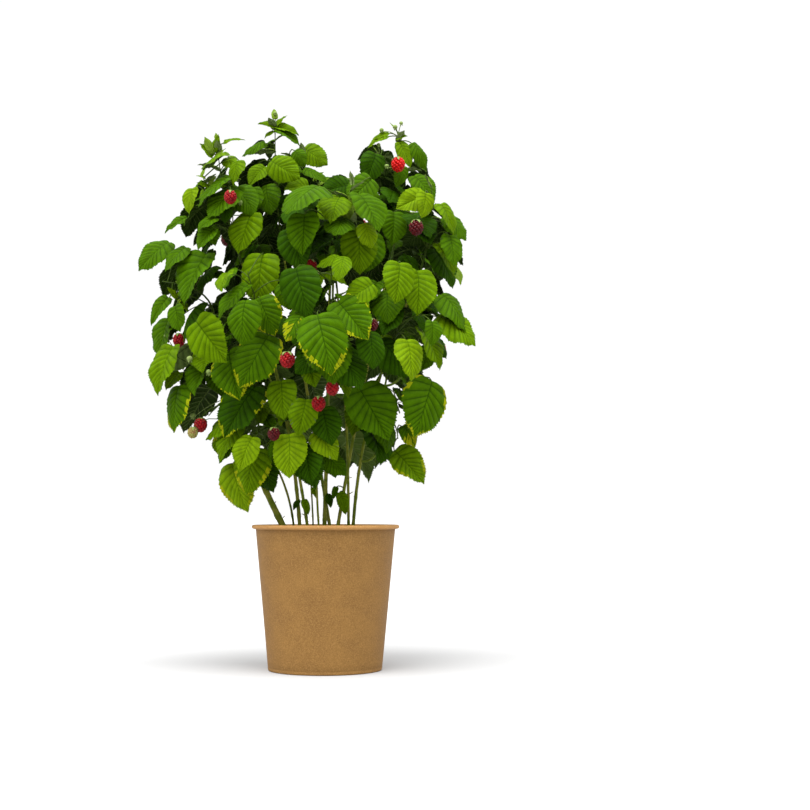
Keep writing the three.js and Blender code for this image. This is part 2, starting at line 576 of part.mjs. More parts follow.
/** Grows the stems, leaves and berries of one mass, as far as they fit its space. */
class Growth {
  constructor(mass, limbs) {
    this.mass = mass;
    this.limbs = limbs;
    this.draws = new Draws(mass.seed);
    this.outward = vec([mass.centre.x, mass.centre.y, 0]).normalize();
    this.stems = [];
    this.stalked = []; // end leaflets on stalks of their own
    this.sides = []; // leaflets that sit on a stalk or a stem
    this.berries = [];
    this.boxes = [];
    this.anchors = [];
  }

  /** The stem goes on from the tip of its limb to the first shoot tip, and side shoots to the others. */
  growStems() {
    const limb = this.limbs[this.mass.limb];
    const tangent = limb.curve.getTangentAt(1);
    const start = limb.curve.getPointAt(1).addScaledVector(tangent, GAP);
    const stem = bendingCurve(start, tangent, vec(this.mass.tips[0]), STEM.hold);
    this.addStem(stem, 1, 1);
    for (const tip of this.mass.tips.slice(1)) {
      const root = stem.getPointAt(SHOOT.share);
      const away = vec(tip).sub(root).normalize().lerp(this.outward, SHOOT.outward).normalize();
      this.addStem(bendingCurve(root, away, vec(tip), SHOOT.hold), SHOOT.scale, SHOOT.bareAnchors);
    }
  }

  addStem(curve, scale, bareAnchors) {
    this.stems.push({ curve, radii: [STEM.rootRadius * scale, STEM.tipRadius * scale] });
    this.anchors.push(...curve.getSpacedPoints(Math.round(STEM.anchors * scale)).slice(bareAnchors, -1));
    if (this.mass.tuft > 0) this.growTuft(curve, this.mass.tuft * scale);
    this.boxes.push(...tubeBoxes(curve, STEM.rootRadius, STEM.steps));
  }

  /** Young leaves stand round the end of a shoot, smaller and steeper towards its tip. */
  growTuft(curve, longest) {
    const turn = this.draws.next() * Math.PI * 2;
    for (let i = 0; i < TUFT.leaves; i += 1) {
      const share = i / (TUFT.leaves - 1);
      const angle = turn + i * GOLDEN_ANGLE;
      const steep = TUFT.steepest - TUFT.fall * share + this.draws.spread(TUFT.jitter);
      const base = curve.getPointAt(0.99 - TUFT.tallShare * share);
      const flat = vec([Math.cos(angle), Math.sin(angle), 0]);
      const tip = flat.clone().multiplyScalar(Math.cos(steep)).addScaledVector(UP, Math.sin(steep));
      const face = UP.clone().multiplyScalar(Math.cos(steep)).addScaledVector(flat, -Math.sin(steep));
      const leaf = leafFrame(base, tip, face, mix([TUFT.shortest, longest], share), TUFT.widthShare);
      if (!showsInSky(leaf) && this.fits(leaf)) this.addSides([leaf]);
    }
  }

  /** Leaves of three leaflets, on sites that spread evenly round the mass, until it has its number of them. */
  growLeaves() {
    let grown = 0;
    for (let i = 0; i < SITE.tries && grown < this.mass.leaves; i += 1) {
      const rise = 1 - 2 * (((i + 0.5) * SITE.riseStep) % 1);
      const angle = 2 * Math.PI * (((i + 0.5) * SITE.turnStep) % 1);
      const flat = Math.sqrt(1 - rise * rise);
      const direction = vec([flat * Math.cos(angle), flat * Math.sin(angle), rise]);
      const chance = {
        lift: this.draws.next(),
        swing: this.draws.spread(SITE.swing),
        size: this.mass.leaf * mix(SITE.sizes, this.draws.next()),
        depth: mix(SITE.depths, this.draws.next()),
      };
      if (direction.dot(this.outward) < SITE.mostInward) continue;
      if (this.tryLeaf(direction, chance)) grown += 1;
    }
  }

  /** One compound leaf: moved inwards and made smaller until it fits; false where it never does. */
  tryLeaf(direction, { lift, swing, size, depth }) {
    const radial = vec([direction.x, direction.y, 0]).lerp(this.outward, 0.5).normalize();
    const aside = new THREE.Vector3().crossVectors(UP, radial);
    const tip = radial.clone().multiplyScalar(SITE.tipOut).addScaledVector(aside, swing);
    tip.addScaledVector(UP, SITE.tipDown + SITE.tipLift * lift);
    const face = radial.clone().multiplyScalar(SITE.faceOut).addScaledVector(aside, swing * SITE.faceSwing);
    face.addScaledVector(UP, SITE.faceUp);
    for (let attempt = 0; attempt < SITE.attempts; attempt += 1) {
      const site = vec(this.mass.reach).multiply(direction).multiplyScalar(depth * (1 - SITE.pullIn * attempt));
      site.add(this.mass.centre).addScaledVector(UP, size * SITE.lift);
      const length = size * (1 - SITE.shrink * attempt);
      if (this.addCompound(leafFrame(site, tip, face, length, LEAF.widthShare))) return true;
    }
    return false;
  }

  /** Adds an end leaflet on its stalk and the side leaflets that fit; false where the end leaflet doesn't. */
  addCompound(end) {
    if (this.hidesFront(end) || showsInSky(end) || !this.fits(end)) return false;
    const stalk = this.stalkTo(end.base, end.tip);
    if (!stalk) return false;
    const root = stalk.getPointAt(Math.max(0.35, 1 - (end.length * LEAF.rachisShare) / stalk.getLength()));
    const sides = [];
    for (const turn of LEAF.sideTurns) {
      const tip = end.tip.clone().applyAxisAngle(end.face, THREE.MathUtils.degToRad(turn));
      const face = end.face.clone().addScaledVector(tip, LEAF.sideFall);
      tip.addScaledVector(end.face, -LEAF.sideFall);
      const side = leafFrame(root, tip, face, end.length * LEAF.sideShare, LEAF.widthShare);
      if (this.fits(side) && !this.hidesFront(side) && !showsInSky(side)) sides.push(side);
    }
    this.addStalked(stalk, end);
    this.addSides(sides);
    return true;
  }

  addStalked(curve, leaf) {
    this.stalked.push({ curve, leaf });
    this.boxes.push(leafBox(leaf), ...tubeBoxes(curve, STALK.radius, 3).slice(1));
  }

  addSides(leaves) {
    this.sides.push(...leaves);
    this.boxes.push(...leaves.map(leafBox));
  }

  /** A stalk rises from the nearest free place on a stem and arches over to its end; null where it is barred. */
  stalkTo(end, direction) {
    const cost = (anchor) => anchor.distanceTo(end) + 1.5 * Math.max(0, anchor.z - end.z + 12);
    const root = this.anchors.reduce((best, anchor) => (cost(anchor) < cost(best) ? anchor : best));
    const reach = root.distanceTo(end);
    const middle = end.clone().addScaledVector(direction, -STALK.straight * reach).lerp(root, STALK.lean);
    middle.addScaledVector(UP, reach * STALK.rise);
    const curve = new THREE.QuadraticBezierCurve3(root.clone(), middle, end.clone());
    const points = curve.getSpacedPoints(12);
    if (!staysInSpace(points, this.mass)) return null;
    if (points.some((point) => limbNear(point, STALK.rootRadius + TUBE_CLEAR_OF_LIMB, this.limbs))) return null;
    const stretches = tubeBoxes(curve, STALK.radius, 4).slice(1, -1);
    const leafBoxes = this.boxes.filter((box) => box.half[1] > STEM.rootRadius);
    if (leafBoxes.some((box) => stretches.some((stretch) => boxesMeet(stretch, box)))) return null;
    this.anchors = this.anchors.filter((anchor) => anchor !== root);
    return curve;
  }

  /** True where a leaflet stays in the mass's space and clear of the limbs and of what already grows. */
  fits(leaf) {
    if (!staysInSpace(leafPoints(leaf), this.mass) || limbTouchesLeaf(leaf, this.limbs)) return false;
    const box = leafBox(leaf);
    return !this.boxes.some((other) => boxesMeet(box, other));
  }

  /** True where a leaflet would hang before one of the outermost leaves or berries. */
  hidesFront(leaf) {
    const middle = onLeaf(leaf, 0.5, 0, 0);
    return this.shown.some(({ place, room }) => {
      const near = Math.hypot(place.x - middle.x, place.z - middle.z) < room + leaf.length * 0.2;
      return near && middle.y < place.y + 6;
    });
  }

  /** A berry hangs on a thin stalk that comes from inside the mass; false where either doesn't fit. */
  addBerry(place, radius) {
    const room = radius * BERRY.stretch + CLEAR_OF_SPACE;
    if (depthInSpace(place, this.mass) < room || limbNear(place, room, this.limbs)) return false;
    const axes = [vec([1, 0, 0]), vec([0, 1, 0]), UP];
    const box = { middle: place, axes, half: [radius, radius, radius * BERRY.stretch] };
    if (this.boxes.some((other) => boxesMeet(box, other))) return false;
    const stalk = this.stalkTo(place.clone().addScaledVector(UP, radius * BERRY.capShare), UP.clone().negate());
    if (!stalk) return false;
    this.berries.push({ place, radius, stalk });
    this.boxes.push(box);
    return true;
  }

  /** Berries on the outer side of the mass, each in a seeded place. */
  growBerries() {
    for (let i = 0; i < this.mass.berries; i += 1) {
      const outward = this.outward.clone().applyAxisAngle(UP, this.draws.spread(0.6));
      const rise = this.draws.spread(0.5) * this.mass.reach[2];
      for (const share of BERRY.outward) {
        const place = vec(this.mass.reach).multiply(outward).multiplyScalar(share).add(this.mass.centre);
        place.z += rise;
        if (this.addBerry(place, BERRY.radius)) break;
      }
    }
  }

  /** The whole mass as one geometry. */
  geometry() {
    const solids = this.stems.map(({ curve, radii }) => solidFrom(taperedTube(curve, radii, STEM.sides, STEM.steps)));
    solids.push(...this.stalked.map(({ curve, leaf }) => solidFrom(stalkedLeafGeometry(curve, leaf))));
    solids.push(...this.sides.map((leaf) => solidFrom(leafGeometry(leaf))));
    for (const { place, radius, stalk } of this.berries) {
      solids.push(solidFrom(taperedTube(stalk, [STALK.rootRadius, STALK.radius], 3, 2)));
      const berry = new THREE.SphereGeometry(radius, BERRY.sides, BERRY.rings).rotateX(Math.PI / 2);
      solids.push(solidFrom(berry.scale(1, 1, BERRY.stretch).translate(place.x, place.y, place.z)));
    }
    return geometryFrom(join(solids));
  }
}

// ---------------------------------------------------------------- what hangs outermost in front

/** A place on the plane through the pot's axis, moved along its line of sight to a depth. */
function seenAt(x, z, depth) {
  const share = (FRONT_VIEW.distance + depth) / FRONT_VIEW.distance;
  return vec([x * share, depth, FRONT_VIEW.height + (z - FRONT_VIEW.height) * share]);
}

/** Where a point shows on the plane through the pot's axis, as x and z. */
function asSeen({ x, y, z }) {
  const share = FRONT_VIEW.distance / (FRONT_VIEW.distance + y);
  return [x * share, FRONT_VIEW.height + (z - FRONT_VIEW.height) * share];
}

/** How far the crown's outline reaches to the left and to the right at a height. */
function outlineAt(z) {
  const above = OUTLINE.findIndex(([height]) => height > z);
  if (above <= 0) return OUTLINE.at(above).slice(1);
  const [low, high] = [OUTLINE[above - 1], OUTLINE[above]];
  const share = (z - low[0]) / (high[0] - low[0]);
  return [mix([low[1], high[1]], share), mix([low[2], high[2]], share)];
}

/** True where a leaflet would show outside the crown's outline or in one of its gaps. */
function showsInSky(leaf) {
  return SKY_TESTS.some(([share, across]) => {
    const [x, z] = asSeen(onLeaf(leaf, share, across, 0));
    const [left, right] = outlineAt(z);
    return x < left || x > right || SKY_GAPS.some(([gapX, gapZ, room]) => Math.hypot(x - gapX, z - gapZ) < room);
  });
}

/** The depth of the crown's front at a place, from the reach of the masses. */
function frontDepth(x, z) {
  let front = 0;
  for (const { centre, reach } of masses) {
    const share = Math.hypot((x - centre.x) / reach[0], (z - centre.z) / reach[2]);
    const edge = centre.y - reach[1] * Math.sqrt(Math.max(0, 1 - share * share));
    if (share < FRONT_FIT.widestReach) front = Math.min(front, edge);
  }
  return front;
}

/** The growth whose space holds a place. */
function growthAt(place, growths) {
  return growths.reduce((best, growth) =>
    depthInSpace(place, growth.mass) > depthInSpace(place, best.mass) ? growth : best,
  );
}

/** Sideways shifts, the smallest first: none, then rings of them. */
function shifts() {
  const found = [[0, 0]];
  for (const size of FRONT_FIT.shiftRings) {
    for (let turn = 0; turn < FRONT_FIT.shiftTurns; turn += 1) {
      const angle = (turn * 2 * Math.PI) / FRONT_FIT.shiftTurns;
      found.push([size * Math.cos(angle), size * Math.sin(angle)]);
    }
  }
  return found;
}

/** Places an outermost leaf at a scale, a shift and a depth; null where it doesn't fit its mass. */
function placeFrontLeaf([baseX, baseZ, tipX, tipZ], scale, [shiftX, shiftZ], depth, growths) {
  const length = Math.hypot(tipX - baseX, tipZ - baseZ);
  const tip = seenAt(tipX + shiftX, tipZ + shiftZ, depth - length * FRONT_FIT.tipForth);
  const base = seenAt(baseX + shiftX, baseZ + shiftZ, depth + length * FRONT_FIT.baseBack).lerp(tip, 1 - scale);
  const face = vec([base.x * 0.004, -0.8, 0.3]);
  const leaf = leafFrame(base, tip.clone().sub(base), face, base.distanceTo(tip), LEAF.widthShare);
  const middle = onLeaf(leaf, 0.5, 0, 0);
  const growth = growthAt(middle, growths);
  const stalk = growth.fits(leaf) && growth.stalkTo(leaf.base, leaf.tip);
  if (!stalk) return null;
  growth.addStalked(stalk, leaf);
  return { place: middle, room: leaf.length * FRONT_FIT.hides };
}

/** Places an outermost leaf with the least change of scale, then of place, then of depth; null where none fits. */
function fitFrontLeaf(row, growths) {
  const front = frontDepth((row[0] + row[2]) / 2, (row[1] + row[3]) / 2) - FRONT_FIT.proud;
  for (const scale of FRONT_FIT.scales) {
    for (const shift of shifts()) {
      for (const back of FRONT_FIT.setBacks) {
        const spot = placeFrontLeaf(row, scale, shift, front + back, growths);
        if (spot) return spot;
      }
    }
  }
  return null;
}

function fitFrontBerry([x, z, radius], growths) {
  const front = frontDepth(x, z) - 2 * FRONT_FIT.proud;
  for (const back of FRONT_FIT.setBacks) {
    const place = seenAt(x, z, front + back);
    if (growthAt(place, growths).addBerry(place, radius)) return { place, room: radius };
  }
  return null;
}

// ---------------------------------------------------------------- assembly

const group = new THREE.Group();

function addPiece(name, geometry, color, roughness) {
  const piece = new THREE.Mesh(geometry, new THREE.MeshStandardMaterial({ color, roughness, metalness: 0 }));
  piece.name = name;
  group.add(piece);
}

addPiece('pot', potGeometry(), 0xa07844, 0.85);
addPiece('soil', soilGeometry(), 0x2e2018, 0.95);

const limbs = growLimbs();
for (const [name, { curve, radii }] of Object.entries(limbs)) {
  const isCane = name in CANES;
  const { sides, steps } = isCane ? CANE_MESH : BOUGH_MESH;
  addPiece(name, taperedTube(curve, radii, sides, steps, isCane), isCane ? 0x6f7438 : 0x6b8038, 0.7);
}

const growths = masses.map((mass) => new Growth(mass, limbs));
growths.forEach((growth) => growth.growStems());
const shownLeaves = FRONT_LEAVES.map((row) => fitFrontLeaf(row, growths));
const shownBerries = FRONT_BERRIES.map((row) => fitFrontBerry(row, growths));
for (const growth of growths) {
  growth.shown = [...shownLeaves, ...shownBerries].filter(Boolean);
  growth.growBerries();
  growth.growLeaves();
  addPiece(growth.mass.name, growth.geometry(), 0x3f6a14, 0.55);
}

export default group;
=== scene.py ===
"""The looks of a potted raspberry bush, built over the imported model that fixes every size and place.

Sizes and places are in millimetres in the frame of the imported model: the origin is the centre of the pot's
flat underside, +Z is up and -Y is the front. Meshes are written in metres.
"""

from __future__ import annotations

import logging
import math
from collections.abc import Iterable, Sequence
from dataclasses import dataclass, field
from enum import Enum
from itertools import combinations, product

import bpy
import numpy as np
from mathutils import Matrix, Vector


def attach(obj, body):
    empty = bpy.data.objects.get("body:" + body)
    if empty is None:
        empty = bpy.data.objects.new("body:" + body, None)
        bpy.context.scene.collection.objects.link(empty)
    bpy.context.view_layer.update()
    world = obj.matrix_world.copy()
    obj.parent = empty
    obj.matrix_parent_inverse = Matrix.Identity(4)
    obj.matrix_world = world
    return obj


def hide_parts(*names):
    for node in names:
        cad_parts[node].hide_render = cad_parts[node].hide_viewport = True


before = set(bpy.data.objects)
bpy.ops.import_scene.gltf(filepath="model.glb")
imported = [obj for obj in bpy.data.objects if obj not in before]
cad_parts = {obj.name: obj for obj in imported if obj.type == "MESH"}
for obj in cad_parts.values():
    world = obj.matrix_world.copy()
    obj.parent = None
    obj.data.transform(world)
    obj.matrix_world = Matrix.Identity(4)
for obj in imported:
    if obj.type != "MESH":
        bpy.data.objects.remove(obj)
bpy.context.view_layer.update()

LOG = logging.getLogger("raspberry_bush")
Array = np.ndarray
Colour = tuple[float, float, float, float]
Pair = tuple[float, float]
Triple = tuple[float, float, float]
Floats = tuple[float, ...]
Material = bpy.types.Material
Piece = bpy.types.Object
Socket = bpy.types.NodeSocket
Tree = bpy.types.NodeTree

MM = 0.001
UP = np.array([0.0, 0.0, 1.0])
GOLDEN_ANGLE = math.pi * (3 - math.sqrt(5))
GAP = 0.3
BODY = "root"

# ---- sizes and places

# Each cane: foot x, y; lean at the foot; tip x, y, z; radius at foot and tip.
CANES = {
    "cane_left_arching": ((-50, -12), (-0.5, -0.02), (-131, -4, 345), (4.4, 2.2)),
    "cane_left_thin": ((-41, 12), (-0.06, -0.1), (-70, -20, 272), (1.5, 1.3)),
    "cane_left_tall": ((-33, -6), (-0.06, 0), (-110, -18, 525), (2.5, 1.5)),
    "cane_front_left": ((-22, -24), (-0.14, -0.1), (-66, -66, 384), (2.1, 1.4)),
    "cane_stub": ((-16, 14), (-0.04, 0.02), (-21, 17, 262), (1.2, 0.9)),
    "cane_front_thin": ((-8, -34), (-0.09, -0.08), (-12, -44, 270), (1.4, 1.3)),
    "cane_middle": ((-2, -8), (0.03, -0.02), (4, -14, 500), (2.8, 1.6)),
    "cane_left_peak": ((7, 14), (-0.17, 0.02), (-56, 20, 535), (2.2, 1.4)),
    "cane_right_peak": ((14, -18), (0.16, 0.02), (84, 12, 530), (2.3, 1.4)),
    "cane_back": ((30, 26), (0, 0.05), (14, 62, 505), (1.9, 1.3)),
    "cane_right_tall": ((35, -6), (0.05, 0), (112, -28, 490), (2.2, 1.4)),
}

# Each bough: the cane that it leaves, the share of the cane's length where it does, and its tip.
BOUGHS = {
    "bough_left": ("cane_left_tall", 0.48, (-148, -6, 462)),
    "bough_high_front": ("cane_middle", 0.7, (8, -62, 492)),
    "bough_front_middle": ("cane_middle", 0.42, (2, -96, 386)),
    "bough_front_right": ("cane_right_peak", 0.5, (80, -66, 405)),
    "bough_right": ("cane_right_tall", 0.6, (118, 4, 422)),
    "bough_back_right": ("cane_back", 0.42, (82, 78, 385)),
    "bough_back_middle": ("cane_back", 0.55, (0, 98, 400)),
    "bough_back_left": ("cane_left_peak", 0.45, (-82, 76, 395)),
    "bough_high_back_left": ("cane_left_peak", 0.74, (-84, 66, 512)),
    "bough_high_back_right": ("cane_back", 0.78, (78, 74, 505)),
    "bough_low_right": ("cane_right_tall", 0.29, (70, -12, 300)),
    "bough_low_back": ("cane_back", 0.24, (-2, 60, 292)),
}
BOUGH_RADII = (1.7, 1.3)

# Each mass of foliage, named without the word foliage that its node starts with: its limb, centre, reach and
# shoot tips, the length of an end leaflet, the number of compound leaves, the longest leaf of its young tufts
# and the number of its own berries.
MASSES = {
    "left_peak": (
        "cane_left_peak", (-66, 20, 620), (64, 62, 92), ((-69, 8, 725), (-32, 14, 676)), 60, 7, 34, 0),
    "left_shoulder": (
        "cane_left_tall", (-132, -28, 592), (64, 66, 84), ((-143, -20, 682), (-160, -40, 634)), 63, 7, 34, 0),
    "right_peak": (
        "cane_right_peak", (94, 24, 612), (60, 60, 86), ((94, 12, 710), (68, 24, 676)), 58, 7, 30, 1),
    "right_shoulder": ("cane_right_tall", (128, -42, 562), (56, 66, 72), ((134, -64, 620),), 62, 7, 34, 0),
    "heart": ("cane_middle", (8, 0, 562), (70, 50, 72), ((4, 6, 640),), 68, 7, 34, 0),
    "high_front": ("bough_high_front", (6, -88, 548), (72, 66, 70), ((32, -112, 610),), 70, 7, 34, 0),
    "high_back": ("cane_back", (8, 84, 584), (80, 62, 78), ((-16, 78, 662),), 70, 7, 34, 1),
    "high_back_left": (
        "bough_high_back_left", (-98, 96, 566), (72, 66, 76), ((-104, 98, 656),), 70, 8, 36, 1),
    "high_back_right": (
        "bough_high_back_right", (100, 96, 556), (72, 66, 76), ((112, 100, 648),), 70, 8, 36, 1),
    "left": ("bough_left", (-160, -8, 486), (66, 76, 70), ((-212, -20, 500),), 75, 8, 36, 0),
    "front_left": ("cane_front_left", (-88, -84, 446), (74, 66, 82), ((-98, -108, 500),), 78, 8, 0, 0),
    "front_middle": ("bough_front_middle", (2, -128, 440), (70, 62, 82), ((6, -140, 500),), 78, 8, 0, 0),
    "front_right": ("bough_front_right", (94, -86, 450), (70, 66, 82), ((100, -104, 508),), 78, 8, 0, 0),
    "right": ("bough_right", (112, 4, 452), (52, 76, 76), ((150, 8, 482),), 66, 9, 0, 0),
    "back_right": ("bough_back_right", (98, 104, 430), (76, 68, 80), ((116, 128, 470),), 80, 8, 0, 1),
    "back_middle": ("bough_back_middle", (0, 128, 440), (74, 62, 84), ((-4, 150, 486),), 80, 8, 0, 1),
    "back_left": ("bough_back_left", (-102, 106, 436), (76, 68, 80), ((-120, 130, 478),), 80, 8, 0, 1),
    "low_left": ("cane_left_arching", (-156, -4, 378), (62, 72, 58), ((-196, -12, 404),), 80, 8, 0, 0),
    "foot_left": ("cane_left_thin", (-96, -34, 308), (66, 62, 62), ((-100, -56, 336),), 75, 8, 0, 0),
    "foot_front": ("cane_front_thin", (-30, -58, 312), (62, 62, 60), ((-24, -78, 346),), 72, 8, 0, 0),
    "foot_right": (
        "bough_low_right", (74, -48, 326), (70, 70, 64), ((98, -44, 352), (92, -40, 296)), 75, 8, 0, 0),
    "foot_back": ("bough_low_back", (-10, 82, 322), (88, 64, 58), ((-20, 104, 350),), 78, 8, 0, 1),
}


class Tint(Enum):
    """The greens that leaves are dealt, each with a slot for its upper side and one for its underside."""

    DARK = 0
    MID = 1
    FRESH = 2
    LIGHT = 3
    YOUNG = 4


DARK, MID, FRESH, LIGHT, YOUNG = Tint
YELLOWED = len(Tint) * 2  # slot of the margins that have turned yellow


class Ripeness(Enum):
    """How ripe a berry is, each with a slot of its own."""

    BRIGHT = 0
    RED = 1
    DARK = 2
    UNRIPE = 3


# The outermost leaves in front, as the front viewpoint sees them on the plane through the pot's axis: base x
# and z, tip x and z, the tint, and True where the margin has turned yellow.
VIEW_DISTANCE, VIEW_HEIGHT = 1900.0, 217.0
FRONT_LEAVES = (
    (146, 556, 174, 519, FRESH), (148, 608, 172, 575, FRESH), (-194, 562, -238, 533, MID),
    (147, 458, 201, 428, FRESH), (-197, 417, -229, 361, FRESH), (-189, 366, -200, 306, MID, True),
    (138, 374, 117, 300, MID, True), (-151, 543, -192, 484, MID), (89, 282, 130, 242, FRESH, True),
    (-120, 266, -108, 203, LIGHT, True), (114, 646, 147, 618, MID), (-116, 664, -125, 634, FRESH),
    (-31, 683, 0, 663, FRESH), (22, 374, 68, 296, MID), (-75, 411, -113, 348, MID, True),
    (-79, 632, -74, 593, MID), (-30, 593, -30, 542, MID), (-97, 592, -116, 542, FRESH),
    (-81, 559, -95, 495, FRESH), (-40, 521, -25, 459, DARK), (72, 556, 64, 502, MID),
    (43, 575, 40, 519, FRESH), (94, 529, 94, 476, FRESH), (118, 519, 126, 462, FRESH),
    (59, 634, 26, 603, MID), (87, 597, 87, 554, MID), (122, 540, 160, 490, DARK),
    (-170, 450, -130, 399, FRESH), (-12, 458, 6, 382, MID, True), (14, 476, 56, 429, MID, True),
    (-125, 411, -116, 347, MID, True), (99, 422, 112, 370, LIGHT), (-75, 363, -127, 291, DARK, True),
    (-75, 285, -95, 227, FRESH, True), (-48, 303, -43, 247, LIGHT), (-26, 348, -34, 303, FRESH),
    (-58, 380, -55, 329, FRESH), (-26, 291, -23, 239, DARK), (9, 337, 18, 288, DARK),
    (44, 428, 104, 376, DARK),
)

# Smaller leaves that show between the outermost ones, in the same way.
SMALL_FRONT_LEAVES = (
    (85, 314, 107, 292, MID, True), (21, 273, 49, 253, MID), (-188, 471, -182, 428, MID),
    (-204, 454, -224, 404, MID), (-104, 477, -116, 424, MID), (-46, 573, -35, 521, DARK),
    (-56, 495, -50, 460, MID), (61, 501, 26, 479, FRESH), (56, 437, 61, 390, DARK), (-97, 628, -98, 594, MID),
    (48, 582, 63, 552, LIGHT), (-159, 383, -151, 340, MID), (-145, 346, -157, 307, FRESH, True),
    (-135, 333, -141, 296, FRESH, True), (-101, 298, -124, 258, LIGHT), (-82, 283, -64, 236, DARK),
    (-33, 286, -16, 234, DARK), (22, 281, 35, 247, MID), (156, 563, 167, 523, MID),
    (-157, 563, -184, 542, MID), (-205, 462, -227, 443, FRESH), (-172, 556, -206, 531, MID),
    (-172, 584, -168, 552, MID), (-166, 617, -174, 586, LIGHT), (-160, 628, -176, 612, FRESH),
    (64, 676, 52, 639, DARK), (98, 646, 93, 619, MID), (124, 615, 88, 598, LIGHT),
    (130, 610, 126, 576, LIGHT), (137, 581, 174, 554, MID), (160, 526, 173, 503, YOUNG),
    (137, 452, 143, 421, MID), (130, 430, 155, 408, DARK), (152, 412, 138, 374, MID),
    (-189, 383, -209, 362, FRESH), (-130, 296, -148, 268, MID), (-28, 306, 1, 273, LIGHT),
    (-28, 391, -17, 360, FRESH), (-90, 495, -68, 443, MID, True), (-38, 460, -61, 427, MID, True),
    (60, 631, 82, 607, MID), (-74, 664, -37, 641, FRESH), (-43, 679, -27, 661, MID),
    (-81, 656, -104, 633, FRESH), (-24, 632, -56, 627, FRESH), (-136, 623, -148, 592, DARK),
    (-127, 588, -158, 573, MID), (36, 638, -4, 630, DARK), (150, 487, 192, 449, MID),
)

# Narrow young leaves at the ends of shoots and low on the canes: base, tip and tint in the same way.
YOUNG_LEAVES = (
    (-69, 709, -91, 718, FRESH), (-69, 711, -57, 729, FRESH), (-68, 709, -37, 709, FRESH),
    (-68, 706, -34, 695, MID), (-70, 704, -84, 697, FRESH), (-81, 688, -114, 678, MID),
    (-136, 688, -109, 697, FRESH), (-151, 672, -158, 697, YOUNG), (-149, 676, -145, 700, FRESH),
    (-152, 668, -166, 688, FRESH), (-148, 668, -135, 682, YOUNG), (-154, 629, -170, 637, FRESH),
    (-154, 631, -148, 645, YOUNG), (-152, 628, -134, 635, FRESH), (-182, 585, -214, 572, MID),
    (-205, 481, -234, 451, MID), (112, 691, 136, 662, MID), (82, 704, 62, 700, FRESH),
    (80, 699, 52, 690, FRESH), (91, 695, 106, 702, FRESH), (95, 692, 112, 660, FRESH),
    (68, 675, 51, 647, YOUNG), (-31, 654, 3, 643, MID), (33, 606, 25, 586, YOUNG), (30, 602, 12, 582, YOUNG),
    (38, 604, 49, 588, YOUNG), (33, 608, 30, 624, YOUNG), (-18, 639, -28, 651, YOUNG),
    (-16, 640, -7, 653, FRESH), (-195, 480, -206, 497, LIGHT), (-160, 640, -171, 646, LIGHT),
    (-192, 480, -178, 465, LIGHT), (-34, 218, -44, 207, DARK), (-29, 218, -22, 199, FRESH),
    (-18, 234, -12, 221, LIGHT), (3, 226, 8, 208, DARK), (18, 228, 30, 201, FRESH), (14, 235, 8, 220, MID),
)

# The crown's outline from the front: at each height z, how far it reaches to the left and to the right. The
# leaves of the rule keep within it, and the outermost leaves reach past it.
OUTLINE = (
    (220, -131, 40), (260, -144, 98), (300, -176, 121), (340, -218, 155), (380, -232, 154), (420, -228, 157),
    (460, -226, 168), (500, -212, 178), (540, -206, 182), (580, -198, 178), (620, -184, 160),
    (660, -172, 142), (700, -172, 134),
)

# Places within the outline where the sky shows through: x, z and radius.
SKY_GAPS = (
    (-153, 485, 12), (-98, 448, 9), (-186, 392, 9), (101, 321, 13), (134, 394, 12), (76, 370, 6),
    (138, 548, 7), (-163, 588, 7), (-140, 540, 5), (6, 694, 34),
)

# Where a leaflet is tested for showing in the sky: share of its length and of its half width.
SKY_TESTS = ((0.12, 0), (0.3, -0.7), (0.3, 0.7), (0.45, 0), (0.6, -0.6), (0.6, 0.6), (0.8, 0), (1, 0))

# Berries that show in front, in the same way: x, z, radius and ripeness.
FRONT_BERRIES = (
    (-127, 615, 8.5, Ripeness.RED), (94, 662, 9.5, Ripeness.BRIGHT), (118, 577, 9.5, Ripeness.DARK),
    (-21, 524, 8.5, Ripeness.RED), (60, 447, 7.5, Ripeness.DARK), (-192, 426, 8.5, Ripeness.RED),
    (-51, 400, 9.5, Ripeness.RED), (8, 363, 8.5, Ripeness.RED), (-10, 343, 9, Ripeness.RED),
    (-163, 315, 9, Ripeness.RED), (-68, 303, 8, Ripeness.DARK), (-173, 305, 7, Ripeness.UNRIPE),
)

# Buds and green fruit that show in front: x, z and radius.
FRONT_BUDS = (
    (79, 657, 3.6), (72, 706, 3.4), (90, 710, 3.8), (68, 686, 3.2), (-208, 428, 4.4), (-178, 398, 4.6),
    (-153, 381, 4.2), (-173, 324, 4.6), (-13, 512, 4.2), (-114, 606, 3.6), (-69, 727, 3.0), (98, 716, 3.0),
)


@dataclass(frozen=True)
class FrontFit:
    """How an outermost leaf is fitted: first proud of the masses, then set back, shifted and scaled."""

    proud: float = 4
    set_backs: Floats = (0, 6, 12, 18, 24, 32, 40, 50, 60, 70)
    shift_rings: Floats = (7, 14, 21)
    shift_turns: int = 8
    scales: Floats = (1, 0.88, 0.76)
    base_back: float = 0.12
    tip_forth: float = 0.2
    face_turn: float = 0.004
    face: Pair = (-0.8, 0.3)
    hides: float = 0.42
    room: float = 0.2
    behind: float = 6
    widest_reach: float = 1.35
    young_proud: float = 2
    young_forth: float = 0.3
    young_face: Triple = (0, -0.6, 0.7)


@dataclass(frozen=True)
class LeafRule:
    """Proportions of a leaflet and of a leaf of three leaflets."""

    width_share: float = 0.8
    crest_share: float = 0.055
    droop_share: float = 0.12
    rings: Pair = (0.22, 0.66)
    kite_widest: float = 0.38
    box_half: Triple = (0.47, 0.42, 0.07)
    box_at: float = 0.48
    root_sunk: float = 3.5
    side_share: float = 0.8
    side_turns: Pair = (-80, 75)
    side_fall: float = 0.25
    rachis_share: float = 0.32
    first_side: float = 0.35


